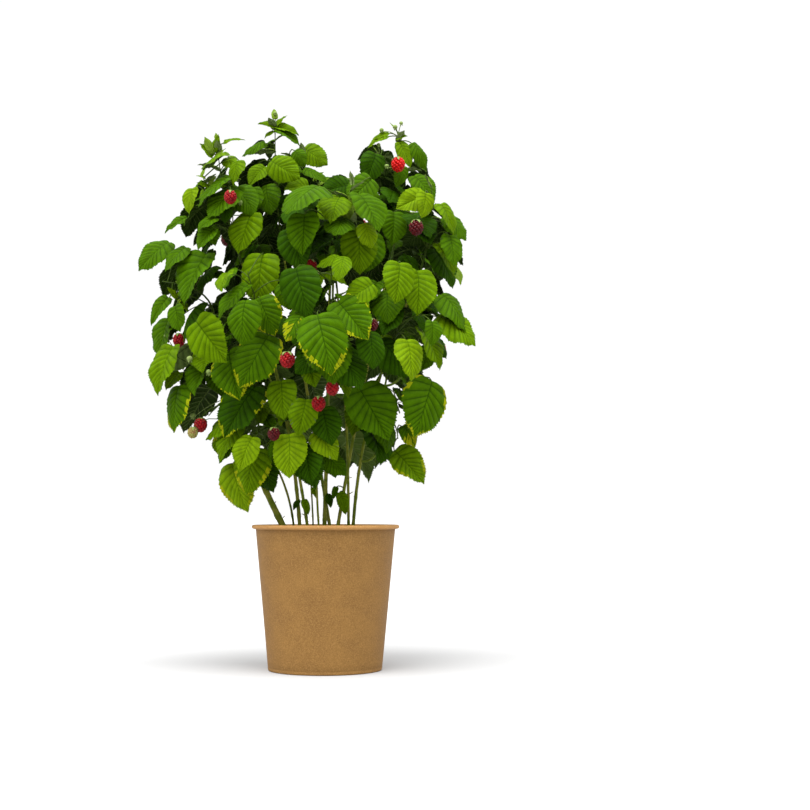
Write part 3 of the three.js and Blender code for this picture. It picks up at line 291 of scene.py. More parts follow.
@dataclass(frozen=True)
class StemRule:
    """Sizes of stems, side shoots, stalks, tufts and berries."""

    radius: float = 1.5
    tip_radius: float = 0.55
    anchors: int = 26
    hold: float = 0.45
    steps: int = 5
    shoot_share: float = 0.45
    shoot_scale: float = 0.8
    shoot_outward: float = 0.4
    shoot_bare: int = 3
    stalk_root: float = 0.85
    stalk: float = 0.7
    stalk_rise: float = 0.12
    stalk_straight: float = 0.35
    stalk_lean: float = 0.25
    free_climb: float = 12
    climb_cost: float = 1.5
    tuft_leaves: int = 5
    tuft_shortest: float = 18
    tuft_width: float = 0.5
    young_width: float = 0.54
    tuft_top: float = 0.99
    tuft_tall: float = 0.3
    tuft_steepest: float = 1.2
    tuft_fall: float = 1.15
    tuft_jitter: float = 0.2
    berry: float = 9
    berry_stretch: float = 1.12
    berry_cap: float = 0.8
    berry_outward: Floats = (0.95, 0.8, 0.65)
    berry_swing: float = 0.6
    berry_rise: float = 0.5


@dataclass(frozen=True)
class SiteRule:
    """Where the rule hangs leaves round the centre of a mass: blade facing out and up, tip out and down."""

    tries: int = 100
    rise_step: float = 0.7548776662
    turn_step: float = 0.569840291
    depths: Pair = (0.58, 0.88)
    sizes: Pair = (0.86, 1.14)
    width_share: float = 0.8
    most_inward: float = -0.75
    lift: float = 0.25
    attempts: int = 4
    pull_in: float = 0.2
    shrink: float = 0.08
    swing: float = 0.55
    tip_out: float = 0.62
    tip_down: float = -0.85
    tip_lift: float = 0.6
    face_out: float = 0.75
    face_up: float = 0.65
    face_swing: float = 0.3


@dataclass(frozen=True)
class FinerRule:
    """The finer leaves between those of the source's rule, in each mass."""

    first_site: int = 100
    tries: int = 150
    leaves: int = 16
    depths: Pair = (0.2, 0.97)
    sizes: Pair = (0.46, 0.84)
    width_share: float = 0.66
    attempts: int = 3
    clear_of_space: float = -7.0
    twig_radii: Pair = (0.75, 0.5)


@dataclass(frozen=True)
class GreenRule:
    """How light the green of a leaf is, and the least lightness of each green: lighter outermost and darker
    deep in the crown, which is painted light and shade, lighter also high on its mass, with a seeded chance
    for the leaves' own spread of tone.
    """

    mean: float = 0.36
    rise: float = 0.1
    fall: float = 0.26
    heights: Pair = (440, 180)
    chance: float = 0.32
    outermost: float = 0.75
    mean_depth: float = 0.7
    steps: tuple[tuple[float, Tint], ...] = ((0.88, LIGHT), (0.58, FRESH), (0.22, MID))


FRONT_FIT = FrontFit()
LEAF = LeafRule()
STEM = StemRule()
SITE = SiteRule()
FINER = FinerRule()
GREENS = GreenRule()
CLEAR_OF_LIMB = 2.2
TUBE_CLEAR_OF_LIMB = 0.8
CLEAR_OF_SPACE = 0.4

# ---- numbers and vectors


def vec(place: Iterable[float]) -> Array:
    """A place or direction as an array of three numbers."""
    return np.array(tuple(place), dtype=float)


def unit(direction: Array) -> Array:
    """The direction with a length of one."""
    return direction / math.sqrt(float(direction @ direction))


def mix(pair: Sequence[float], share: float) -> float:
    """The value at a share of the way from the first of a pair to the second."""
    return pair[0] + (pair[1] - pair[0]) * share


def nearest(points: Array, place: Array) -> Array:
    """The point that lies nearest to a place."""
    return points[np.linalg.norm(points - place, axis=1).argmin()]


def level(angle: float, reach: float = 1.0, rise: float = 0.0) -> Array:
    """The level direction at an angle, with a reach and a rise."""
    return vec((math.cos(angle) * reach, math.sin(angle) * reach, rise))


def turned(direction: Array, axis: Array, angle: float) -> Array:
    """A direction turned round a unit axis by an angle in radians."""
    cos, sin = math.cos(angle), math.sin(angle)
    return direction * cos + np.cross(axis, direction) * sin + axis * float(axis @ direction) * (1 - cos)


def srgb(red: int, green: int, blue: int) -> Colour:
    """A screen colour of 0 to 255 as the linear colour that a shader takes."""
    shares = (red / 255, green / 255, blue / 255)
    return (*(v / 12.92 if v <= 10 / 255 else ((v + 0.055) / 1.055) ** 2.4 for v in shares), 1.0)


class Draws:
    """Seeded numbers from 0 to 1, the same on every run."""

    def __init__(self, seed: int) -> None:
        """Starts from a seed."""
        self.state = seed % 2**32

    def next(self) -> float:
        """The next number from 0 to 1."""
        self.state = (self.state * 1664525 + 1013904223) % 2**32
        return self.state / 2**32

    def spread(self, size: float) -> float:
        """The next number from minus size to size."""
        return (self.next() * 2 - 1) * size


@dataclass
class Bend:
    """A quadratic curve from a start by way of a middle to an end, which is walked by its length."""

    start: Array
    middle: Array
    end: Array
    divisions: int = 200

    def __post_init__(self) -> None:
        """Measures the curve through its divisions."""
        self.shares = np.linspace(0, 1, self.divisions + 1)
        steps = np.linalg.norm(np.diff(self._on(self.shares), axis=0), axis=1)
        self.lengths = np.concatenate(([0.0], np.cumsum(steps)))

    @classmethod
    def leaving(cls, start: Array, direction: Array, end: Array, hold: float = 0.5) -> Bend:
        """A curve that leaves its start along a direction, which it holds over a share of its reach."""
        reach = float(np.linalg.norm(end - start))
        return cls(start, start + direction * reach * hold, end)

    @property
    def length(self) -> float:
        """The whole length."""
        return float(self.lengths[-1])

    def _on(self, params: Array) -> Array:
        """Points at the curve's own parameters."""
        t = np.asarray(params)[:, None]
        return self.start * (1 - t) ** 2 + self.middle * 2 * t * (1 - t) + self.end * t**2

    def _params(self, shares: Array) -> Array:
        """The curve's own parameters at shares of its length."""
        return np.interp(np.asarray(shares) * self.length, self.lengths, self.shares)

    def points(self, shares: Sequence[float] | Array) -> Array:
        """Points at shares of the length."""
        return self._on(self._params(np.asarray(shares, dtype=float)))

    def point(self, share: float) -> Array:
        """The point at a share of the length."""
        return self.points([share])[0]

    def tangent(self, share: float) -> Array:
        """The unit direction at a share of the length."""
        t = float(self._params(np.array([share]))[0])
        return unit((self.middle - self.start) * (1 - t) + (self.end - self.middle) * t)

    def spaced(self, count: int) -> Array:
        """Points that part the curve into equal stretches."""
        return self.points(np.linspace(0, 1, count + 1))


# ---- limbs


@dataclass
class Limb:
    """A cane or a bough: its curve and its radius at both ends."""

    curve: Bend
    radii: Pair


class Limbs:
    """All canes and boughs, with sample points for the clearance tests."""

    SAMPLE_STEP = 4

    def __init__(self, soil_surface: float) -> None:
        """Grows the canes from the soil and the boughs from the sides of the canes.

        Args:
            soil_surface: height of the soil.
        """
        self.limbs: dict[str, Limb] = {}
        for name, (foot, lean, tip, radii) in CANES.items():
            curve = Bend.leaving(vec((*foot, soil_surface + GAP)), unit(vec((*lean, 1))), vec(tip))
            self.limbs[name] = Limb(curve, radii)
        for name, (cane_name, share, tip) in BOUGHS.items():
            cane = self.limbs[cane_name]
            along, root = cane.curve.tangent(share), cane.curve.point(share)
            outward = vec(tip) - root
            outward = unit(outward - along * float(outward @ along))
            root = root + outward * (mix(cane.radii, share) + GAP)
            self.limbs[name] = Limb(Bend.leaving(root, outward, vec(tip)), BOUGH_RADII)
        limbs = self.limbs.values()
        samples = [limb.curve.spaced(math.ceil(limb.curve.length / self.SAMPLE_STEP)) for limb in limbs]
        self.samples = np.concatenate(samples)
        self.radii = np.repeat([limb.radii[0] for limb in limbs], [len(points) for points in samples])

    def near(self, points: Array, room: float) -> bool:
        """True where a limb comes within some room of any of the points."""
        apart = ((self.samples[None] - points[:, None]) ** 2).sum(-1)
        return bool((apart < (room + self.radii) ** 2).any())

    def touch(self, leaf: Leaflet, clear: float) -> bool:
        """Whether a limb passes through a leaflet or too near to it.

        Args:
            leaf: the leaflet.
            clear: the least clearance.

        Returns:
            True where one does.
        """
        offset = self.samples - leaf.base
        along, high, across = offset @ leaf.tip, offset @ leaf.face, np.abs(offset @ leaf.side)
        room = self.radii + clear
        besides = (along < -LEAF.root_sunk - room) | (along > leaf.length + room)
        besides |= across > leaf.width / 2 + room
        above = high > leaf.length * LEAF.crest_share + room
        below = high <= -leaf.length * LEAF.droop_share - room
        return bool((~besides & ~above & ~below).any())


# ---- spaces of the masses


class Spaces:
    """The space of each mass: flat faces between the centres part them."""

    def __init__(self) -> None:
        """Reads the centres and the mean reaches."""
        self.centres = np.array([row[1] for row in MASSES.values()], dtype=float)
        self.reaches = np.array([row[2] for row in MASSES.values()], dtype=float)
        self.weights = self.reaches.mean(axis=1) ** 2
        self.apart = np.linalg.norm(self.centres[:, None] - self.centres[None], axis=2)
        np.fill_diagonal(self.apart, 1.0)

    def depths(self, points: Array, index: int) -> Array:
        """How deep points lie in the space of a mass.

        Args:
            points: the points.
            index: the mass.

        Returns:
            The depth of each, below zero outside the space.
        """
        power = ((points[:, None] - self.centres[None]) ** 2).sum(-1) - self.weights
        depth = (power - power[:, index : index + 1]) / (2 * self.apart[index])
        depth[:, index] = np.inf
        return depth.min(axis=1)

    def holding(self, place: Array) -> int:
        """The mass whose space holds a place."""
        power = ((place - self.centres) ** 2).sum(-1) - self.weights
        return int(power.argmin())

    def front(self, x: float, z: float) -> float:
        """Finds the crown's front at a place, from the reach of the masses.

        Args:
            x: distance to the right.
            z: height.

        Returns:
            The depth of the front.
        """
        aside = (x - self.centres[:, 0]) / self.reaches[:, 0]
        share = np.hypot(aside, (z - self.centres[:, 2]) / self.reaches[:, 2])
        edge = self.centres[:, 1] - self.reaches[:, 1] * np.sqrt(np.clip(1 - share**2, 0, None))
        near = edge[share < FRONT_FIT.widest_reach]
        return min(0.0, float(near.min())) if len(near) else 0.0


# ---- leaflets and boxes


def blade_profile(share: float) -> float:
    """Half of the blade's width at a share of its length, as a share of its greatest half width."""
    return math.sin(math.pi * share**0.7) ** 0.85


def corner_shares() -> Array:
    """The corners that the space test takes.

    Returns:
        Share of the length, share of the half width and crest (0 or 1) of each.
    """
    rows = [(0.0, 0.0, 0.0), (1.0, 0.0, 0.0)]
    for share in (*LEAF.rings, LEAF.kite_widest):
        across = blade_profile(share)
        rows += [(share, across, 0.0), (share, -across, 0.0), (share, 0.0, 1.0)]
    return np.array(rows)


CORNERS = corner_shares()


@dataclass
class Box:
    """A box with axes of its own."""

    middle: Array
    axes: Array
    half: Array


@dataclass
class Leaflet:
    """A leaflet: its base, its directions, its size, its green, its yellow margin and how far it hangs."""

    base: Array
    tip: Array
    face: Array
    length: float
    width: float
    tint: Tint = MID
    yellowed: bool = False
    hang: float = 0.1
    side: Array = field(init=False)

    def __post_init__(self) -> None:
        """Squares the face to the tip and finds the side."""
        self.tip = unit(self.tip)
        self.face = unit(self.face - self.tip * float(self.face @ self.tip))
        self.side = np.cross(self.tip, self.face)

    def at(self, share: float, across: float = 0.0) -> Array:
        """The place on the leaflet at a share of its length and of its half width."""
        flat = self.tip * (self.length * share) + self.side * (self.width / 2 * across)
        return self.base + flat + self.face * -(self.length * LEAF.droop_share * share * share)

    def corners(self) -> Array:
        """The corners of the outline and of the rib.

        Returns:
            Their places.
        """
        share, across, crest = CORNERS.T.copy()
        share[0] = -LEAF.root_sunk / self.length
        height = self.length * (crest * LEAF.crest_share - LEAF.droop_share * share**2)
        flat = np.outer(share * self.length, self.tip) + np.outer(across * self.width / 2, self.side)
        return self.base + flat + np.outer(height, self.face)

    def box(self) -> Box:
        """The leaflet's box, a little inside its outline.

        Returns:
            The box.
        """
        lift = self.length * (LEAF.crest_share - LEAF.droop_share / 2) * 0.5
        half = np.array(LEAF.box_half) * (self.length, self.width, self.length)
        return Box(self.at(LEAF.box_at) + self.face * lift, np.array([self.tip, self.side, self.face]), half)


def tube_boxes(curve: Bend, radius: float, stretches: int) -> list[Box]:
    """Boxes the stretches of a tube.

    Args:
        curve: its middle line.
        radius: its radius.
        stretches: how many boxes it gets.

    Returns:
        The boxes.
    """
    points = curve.spaced(stretches)
    boxes = []
    for start, end in zip(points[:-1], points[1:]):
        along = unit(end - start)
        side = unit(np.cross(along, UP if abs(along[2]) < 0.8 else vec((1, 0, 0))))
        axes = np.array([along, side, np.cross(along, side)])
        half = np.array([np.linalg.norm(end - start) / 2, radius, radius])
        boxes.append(Box((start + end) / 2, axes, half))
    return boxes


class BoxStore:
    """Boxes that are tested together."""

    def __init__(self) -> None:
        """Starts empty."""
        self.middles, self.halves = np.zeros((0, 3)), np.zeros((0, 3))
        self.axes = np.zeros((0, 3, 3))

    def add(self, boxes: Sequence[Box]) -> None:
        """Keeps more boxes.

        Args:
            boxes: the boxes.
        """
        if boxes:
            self.middles = np.concatenate((self.middles, [box.middle for box in boxes]))
            self.axes = np.concatenate((self.axes, [box.axes for box in boxes]))
            self.halves = np.concatenate((self.halves, [box.half for box in boxes]))

    def meets(self, box: Box, wider_than: float = 0.0) -> bool:
        """Whether a box meets one of these, because no axis parts the two.

        Args:
            box: the box.
            wider_than: the half width above which these count.

        Returns:
            True where it does.
        """
        reach = np.linalg.norm(self.halves, axis=1) + np.linalg.norm(box.half)
        apart = self.middles - box.middle
        near = ((apart**2).sum(1) < reach**2) & (self.halves[:, 1] > wider_than)
        if not near.any():
            return False
        apart, axes, halves = apart[near], self.axes[near], self.halves[near]
        own = np.broadcast_to(box.axes, axes.shape)
        crossed = np.cross(own[:, :, None], axes[:, None, :]).reshape(len(axes), 9, 3)
        tested = np.concatenate((own, axes, crossed), axis=1)
        gap = np.abs(np.einsum("nkc,nc->nk", tested, apart))
        mine = (np.abs(tested @ box.axes.T) * box.half).sum(-1)
        theirs = (np.abs(np.einsum("nkc,njc->nkj", tested, axes)) * halves[:, None]).sum(-1)
        parts = (gap > mine + theirs) & ((tested**2).sum(-1) > 1e-4)
        return bool((~parts.any(axis=1)).any())


# ---- the view from the front


def seen_at(x: float, z: float, depth: float) -> Array:
    """A place on the plane through the pot's axis, moved along its line of sight to a depth."""
    share = (VIEW_DISTANCE + depth) / VIEW_DISTANCE
    return vec((x * share, depth, VIEW_HEIGHT + (z - VIEW_HEIGHT) * share))


def as_seen(points: Array) -> Array:
    """Where points show on the plane through the pot's axis, as x and z."""
    share = VIEW_DISTANCE / (VIEW_DISTANCE + points[:, 1])
    return np.stack((points[:, 0] * share, VIEW_HEIGHT + (points[:, 2] - VIEW_HEIGHT) * share), axis=1)


def shows_in_sky(leaf: Leaflet) -> bool:
    """Whether a leaflet would show outside the crown's outline or in one of its gaps.

    Args:
        leaf: the leaflet.

    Returns:
        True where it would.
    """
    seen = as_seen(np.array([leaf.at(*place) for place in SKY_TESTS]))
    heights, lefts, rights = np.array(OUTLINE, dtype=float).T
    x, z = seen.T
    outside = (x < np.interp(z, heights, lefts)) | (x > np.interp(z, heights, rights))
    gaps = np.array(SKY_GAPS, dtype=float)
    apart = np.linalg.norm(seen[:, None] - gaps[None, :, :2], axis=2)
    return bool(outside.any() or (apart < gaps[:, 2]).any())


# ---- growth of the masses


@dataclass
class Twig:
    """A stem, shoot or stalk with its radius at both ends, and the leaflet that it carries, if any."""

    curve: Bend
    radii: Pair
    leaf: Leaflet | None = None


@dataclass
class Berry:
    """A berry: its middle, radius, ripeness and the stalk that it hangs on."""

    place: Array
    radius: float
    ripeness: Ripeness
    stalk: Bend


@dataclass
class Shown:
    """A place in front that nothing else may hide, and the room round it."""

    place: Array
    room: float


class Growth:
    """Grows the stems, leaves and berries of one mass, as far as they fit its space."""

    def __init__(self, name: str, index: int, limbs: Limbs, spaces: Spaces) -> None:
        """Takes a mass's row and its limb.

        Args:
            name: the mass.
            index: its place in the table, which seeds its draws.
            limbs: all canes and boughs.
            spaces: the spaces of all masses.
        """
        row = MASSES[name]
        self.name, self.index, self.limbs, self.spaces = name, index, limbs, spaces
        self.limb = limbs.limbs[row[0]]
        self.centre, self.reach = vec(row[1]), vec(row[2])
        self.tips = [vec(tip) for tip in row[3]]
        self.leaf, self.leaves, self.tuft, self.own_berries = row[4:]
        self.draws, self.looks = Draws(7919 * (index + 1)), Draws(4409 * (index + 3))
        self.outward = unit(self.centre * (1, 1, 0))
        self.twigs: list[Twig] = []
        self.sides: list[Leaflet] = []
        self.berries: list[Berry] = []
        self.shown: list[Shown] = []
        self.boxes = BoxStore()
        self.anchors = self.all_anchors = np.zeros((0, 3))
        self.clear_of_space = CLEAR_OF_SPACE
        self.stalk_radii = (STEM.stalk_root, STEM.stalk)

    def grow_stems(self) -> None:
        """The stem goes on from the tip of its limb to the first shoot tip, and side shoots to the others."""
        tangent = self.limb.curve.tangent(1)
        stem = Bend.leaving(self.limb.curve.point(1) + tangent * GAP, tangent, self.tips[0], STEM.hold)
        self._add_stem(stem, 1.0, 1)
        for tip in self.tips[1:]:
            root = stem.point(STEM.shoot_share)
            away = unit(tip - root) * (1 - STEM.shoot_outward) + self.outward * STEM.shoot_outward
            self._add_stem(Bend.leaving(root, unit(away), tip), STEM.shoot_scale, STEM.shoot_bare)

    def _add_stem(self, curve: Bend, scale: float, bare: int) -> None:
        """Adds a stem or shoot with its anchors and its tuft.

        Args:
            curve: the stem.
            scale: how large it is.
            bare: how many of its anchors are left out at its root.
        """
        self.twigs.append(Twig(curve, (STEM.radius * scale, STEM.tip_radius)))
        anchors = curve.spaced(int(STEM.anchors * scale + 0.5))[bare:-1]
        self.anchors = self.all_anchors = np.concatenate((self.anchors, anchors))
        if self.tuft > 0:
            self._grow_tuft(curve, self.tuft * scale)
        self.boxes.add(tube_boxes(curve, STEM.radius, STEM.steps))

    def _grow_tuft(self, curve: Bend, longest: float) -> None:
        """Young leaves stand round the end of a shoot, smaller and steeper towards its tip.

        Args:
            curve: the shoot.
            longest: length of the longest of them.
        """
        turn = self.draws.next() * math.pi * 2
        for i in range(STEM.tuft_leaves):
            share = i / (STEM.tuft_leaves - 1)
            angle = turn + i * GOLDEN_ANGLE
            steep = STEM.tuft_steepest - STEM.tuft_fall * share + self.draws.spread(STEM.tuft_jitter)
            base = curve.point(STEM.tuft_top - STEM.tuft_tall * share)
            flat = level(angle)
            tip = flat * math.cos(steep) + UP * math.sin(steep)
            face = UP * math.cos(steep) - flat * math.sin(steep)
            length = mix((STEM.tuft_shortest, longest), share)
            leaf = Leaflet(base, tip, face, length, length * STEM.tuft_width, YOUNG)
            if not shows_in_sky(leaf) and self.fits(leaf):
                self._add_sides([leaf])

    def grow_leaves(self, first: int, leaves: int, rule: SiteRule | FinerRule) -> None:
        """Hangs leaves of three leaflets on sites spread evenly round the mass, until it has its number.

        Args:
            first: number of the first site.
            leaves: how many compound leaves the mass gets.
            rule: the depths and sizes of the leaves.
        """
        grown = 0
        for i in range(first, first + rule.tries):
            if grown >= leaves:
                break
            rise = 1 - 2 * (((i + 0.5) * SITE.rise_step) % 1)
            angle = 2 * math.pi * (((i + 0.5) * SITE.turn_step) % 1)
            direction = level(angle, math.sqrt(1 - rise * rise), rise)
            lift, swing = self.draws.next(), self.draws.spread(SITE.swing)
            size, depth = self.leaf * mix(rule.sizes, self.draws.next()), mix(rule.depths, self.draws.next())
            if float(direction @ self.outward) >= SITE.most_inward:
                grown += self._try_leaf(direction, (lift, swing), size, depth, rule)

    def _try_leaf(
        self, direction: Array, bend: Pair, size: float, depth: float, rule: SiteRule | FinerRule
    ) -> bool:
        """Moves one compound leaf inwards and makes it smaller until it fits.

        Args:
            direction: where it hangs, as seen from the centre.
            bend: how far it lifts and swings.
            size: length of its end leaflet.
            depth: share of the reach at which it hangs.
            rule: its proportions.

        Returns:
            False where it never fits.
        """
        lift, swing = bend
        radial = unit((direction * (1, 1, 0)) * 0.5 + self.outward * 0.5)
        aside = np.cross(UP, radial)
        tip = radial * SITE.tip_out + aside * swing + UP * (SITE.tip_down + SITE.tip_lift * lift)
        face = radial * SITE.face_out + aside * swing * SITE.face_swing + UP * SITE.face_up
        tint = self._tint(float(direction[2]), depth)
        for attempt in range(rule.attempts):
            site = self.reach * direction * depth * (1 - SITE.pull_in * attempt) + self.centre
            length = size * (1 - SITE.shrink * attempt)
            base = site + UP * size * SITE.lift
            if self._add_compound(Leaflet(base, tip, face, length, length * rule.width_share, tint)):
                return True
        return False

    def _tint(self, rise: float, depth: float) -> Tint:
        """Deals a green: lighter outermost and darker deep in the crown, which is painted light and shade,
        lighter also where the leaf hangs high on its mass, with a seeded chance for the leaves' own spread of
        tone.

        Args:
            rise: how high it hangs, from -1 to 1.
            depth: share of the reach at which it hangs.

        Returns:
            The green.
        """
        low, tall = GREENS.heights
        light = GREENS.mean + GREENS.rise * rise - GREENS.fall * (self.centre[2] - low) / tall
        light += self.looks.spread(GREENS.chance)
        # painted light and shade: leaves further out on their mass get lighter greens, leaves further in get
        # darker ones
        light += GREENS.outermost * (depth - GREENS.mean_depth)
        return next((tint for least, tint in GREENS.steps if light > least), DARK)

    def _add_compound(self, end: Leaflet) -> bool:
        """Adds an end leaflet on its stalk and the side leaflets that fit.

        Args:
            end: the end leaflet.

        Returns:
            False where the end leaflet doesn't fit.
        """
        if self.hides_front(end) or shows_in_sky(end) or not self.fits(end):
            return False
        stalk = self.stalk_to(end.base, end.tip)
        if stalk is None:
            return False
        root = stalk.point(max(LEAF.first_side, 1 - end.length * LEAF.rachis_share / stalk.length))
        sides = []
        for turn in LEAF.side_turns:
            tip = turned(end.tip, end.face, math.radians(turn))
            face = end.face + tip * LEAF.side_fall
            tip = tip - end.face * LEAF.side_fall
            length, width = end.length * LEAF.side_share, end.width * LEAF.side_share
            side = Leaflet(root, tip, face, length, width, end.tint)
            if self.fits(side) and not self.hides_front(side) and not shows_in_sky(side):
                sides.append(side)
        self.add_stalked(stalk, end)
        self._add_sides(sides)
        return True

    def add_stalked(self, curve: Bend, leaf: Leaflet) -> None:
        """Adds a leaflet on a stalk of its own."""
        self.twigs.append(Twig(curve, self.stalk_radii, leaf))
        self.boxes.add([leaf.box(), *tube_boxes(curve, STEM.stalk, 3)[1:]])

    def _add_sides(self, leaves: list[Leaflet]) -> None:
        """Adds leaflets that sit on a stalk or a stem."""
        self.sides += leaves
        self.boxes.add([leaf.box() for leaf in leaves])

    def stalk_to(self, end: Array, direction: Array) -> Bend | None:
        """A stalk rises from the nearest free place on a stem and arches over to its end.

        Args:
            end: where the stalk ends.
            direction: unit direction in which it ends.

        Returns:
            The stalk, or None where it is barred.
        """
        climb = np.clip(self.anchors[:, 2] - end[2] + STEM.free_climb, 0, None)
        chosen = int((np.linalg.norm(self.anchors - end, axis=1) + STEM.climb_cost * climb).argmin())
        curve = self.arching(self.anchors[chosen], end, direction)
        points = curve.spaced(12)
        if not self.in_space(points) or self.limbs.near(points, STEM.stalk_root + TUBE_CLEAR_OF_LIMB):
            return None
        if any(self.boxes.meets(box, STEM.radius) for box in tube_boxes(curve, STEM.stalk, 4)[1:-1]):
            return None
        self.anchors = np.delete(self.anchors, chosen, axis=0)
        return curve

    @staticmethod
    def arching(root: Array, end: Array, direction: Array) -> Bend:
        """Bends a stalk so that it reaches its end along a direction.

        Args:
            root: where it starts.
            end: where it ends.
            direction: unit direction in which it ends.

        Returns:
            The stalk.
        """
        reach = float(np.linalg.norm(end - root))
        straight = end - direction * STEM.stalk_straight * reach
        middle = straight * (1 - STEM.stalk_lean) + root * STEM.stalk_lean
        return Bend(root, middle + UP * reach * STEM.stalk_rise, end)

    def in_space(self, points: Array) -> bool:
        """True where all points lie in the mass's space."""
        return bool((self.spaces.depths(points, self.index) > self.clear_of_space).all())

    def fits(self, leaf: Leaflet) -> bool:
        """True where a leaflet stays in the mass's space and clear of the limbs and of what already grows."""
        is_clear = self.in_space(leaf.corners()) and not self.limbs.touch(leaf, CLEAR_OF_LIMB)
        return is_clear and not self.boxes.meets(leaf.box())

    def hides_front(self, leaf: Leaflet) -> bool:
        """Whether a leaflet would hang before one of the outermost leaves or berries.

        Args:
            leaf: the leaflet.

        Returns:
            True where it would.
        """
        middle = leaf.at(0.5)
        for shown in self.shown:
            across = math.hypot(shown.place[0] - middle[0], shown.place[2] - middle[2])
            is_over = across < shown.room + leaf.length * FRONT_FIT.room
            if is_over and middle[1] < shown.place[1] + FRONT_FIT.behind:
                return True
        return False

    def add_berry(self, place: Array, radius: float, ripeness: Ripeness) -> bool:
        """Hangs a berry on a thin stalk that comes from inside the mass.

        Args:
            place: its middle.
            radius: its radius.
            ripeness: how ripe it is.

        Returns:
            False where the berry or its stalk doesn't fit.
        """
        room = radius * STEM.berry_stretch + CLEAR_OF_SPACE
        if self.spaces.depths(place[None], self.index)[0] < room or self.limbs.near(place[None], room):
            return False
        box = Box(place, np.eye(3), np.array([radius, radius, radius * STEM.berry_stretch]))
        if self.boxes.meets(box):
            return False
        stalk = self.stalk_to(place + UP * radius * STEM.berry_cap, -UP)
        if stalk is None:
            return False
        self.berries.append(Berry(place, radius, ripeness, stalk))
        self.boxes.add([box])
        return True

    def grow_berries(self) -> None:
        """Berries on the outer side of the mass, each in a seeded place."""
        for i in range(self.own_berries):
            outward = turned(self.outward, UP, self.draws.spread(STEM.berry_swing))
            rise = self.draws.spread(STEM.berry_rise) * self.reach[2]
            ripeness = (Ripeness.RED, Ripeness.DARK, Ripeness.BRIGHT)[(self.index + i) % 3]
            for share in STEM.berry_outward:
                place = self.reach * outward * share + self.centre + UP * rise
                if self.add_berry(place, STEM.berry, ripeness):
                    break

    def grow_finer(self) -> None:
        """Smaller leaves on finer twigs in the gaps, within the same reach."""
        self.anchors = self.all_anchors
        self.clear_of_space = FINER.clear_of_space
        self.stalk_radii = FINER.twig_radii
        self.grow_leaves(FINER.first_site, FINER.leaves, FINER)

    def blades(self) -> list[Leaflet]:
        """All leaflets of the mass."""
        return self.sides + [twig.leaf for twig in self.twigs if twig.leaf is not None]


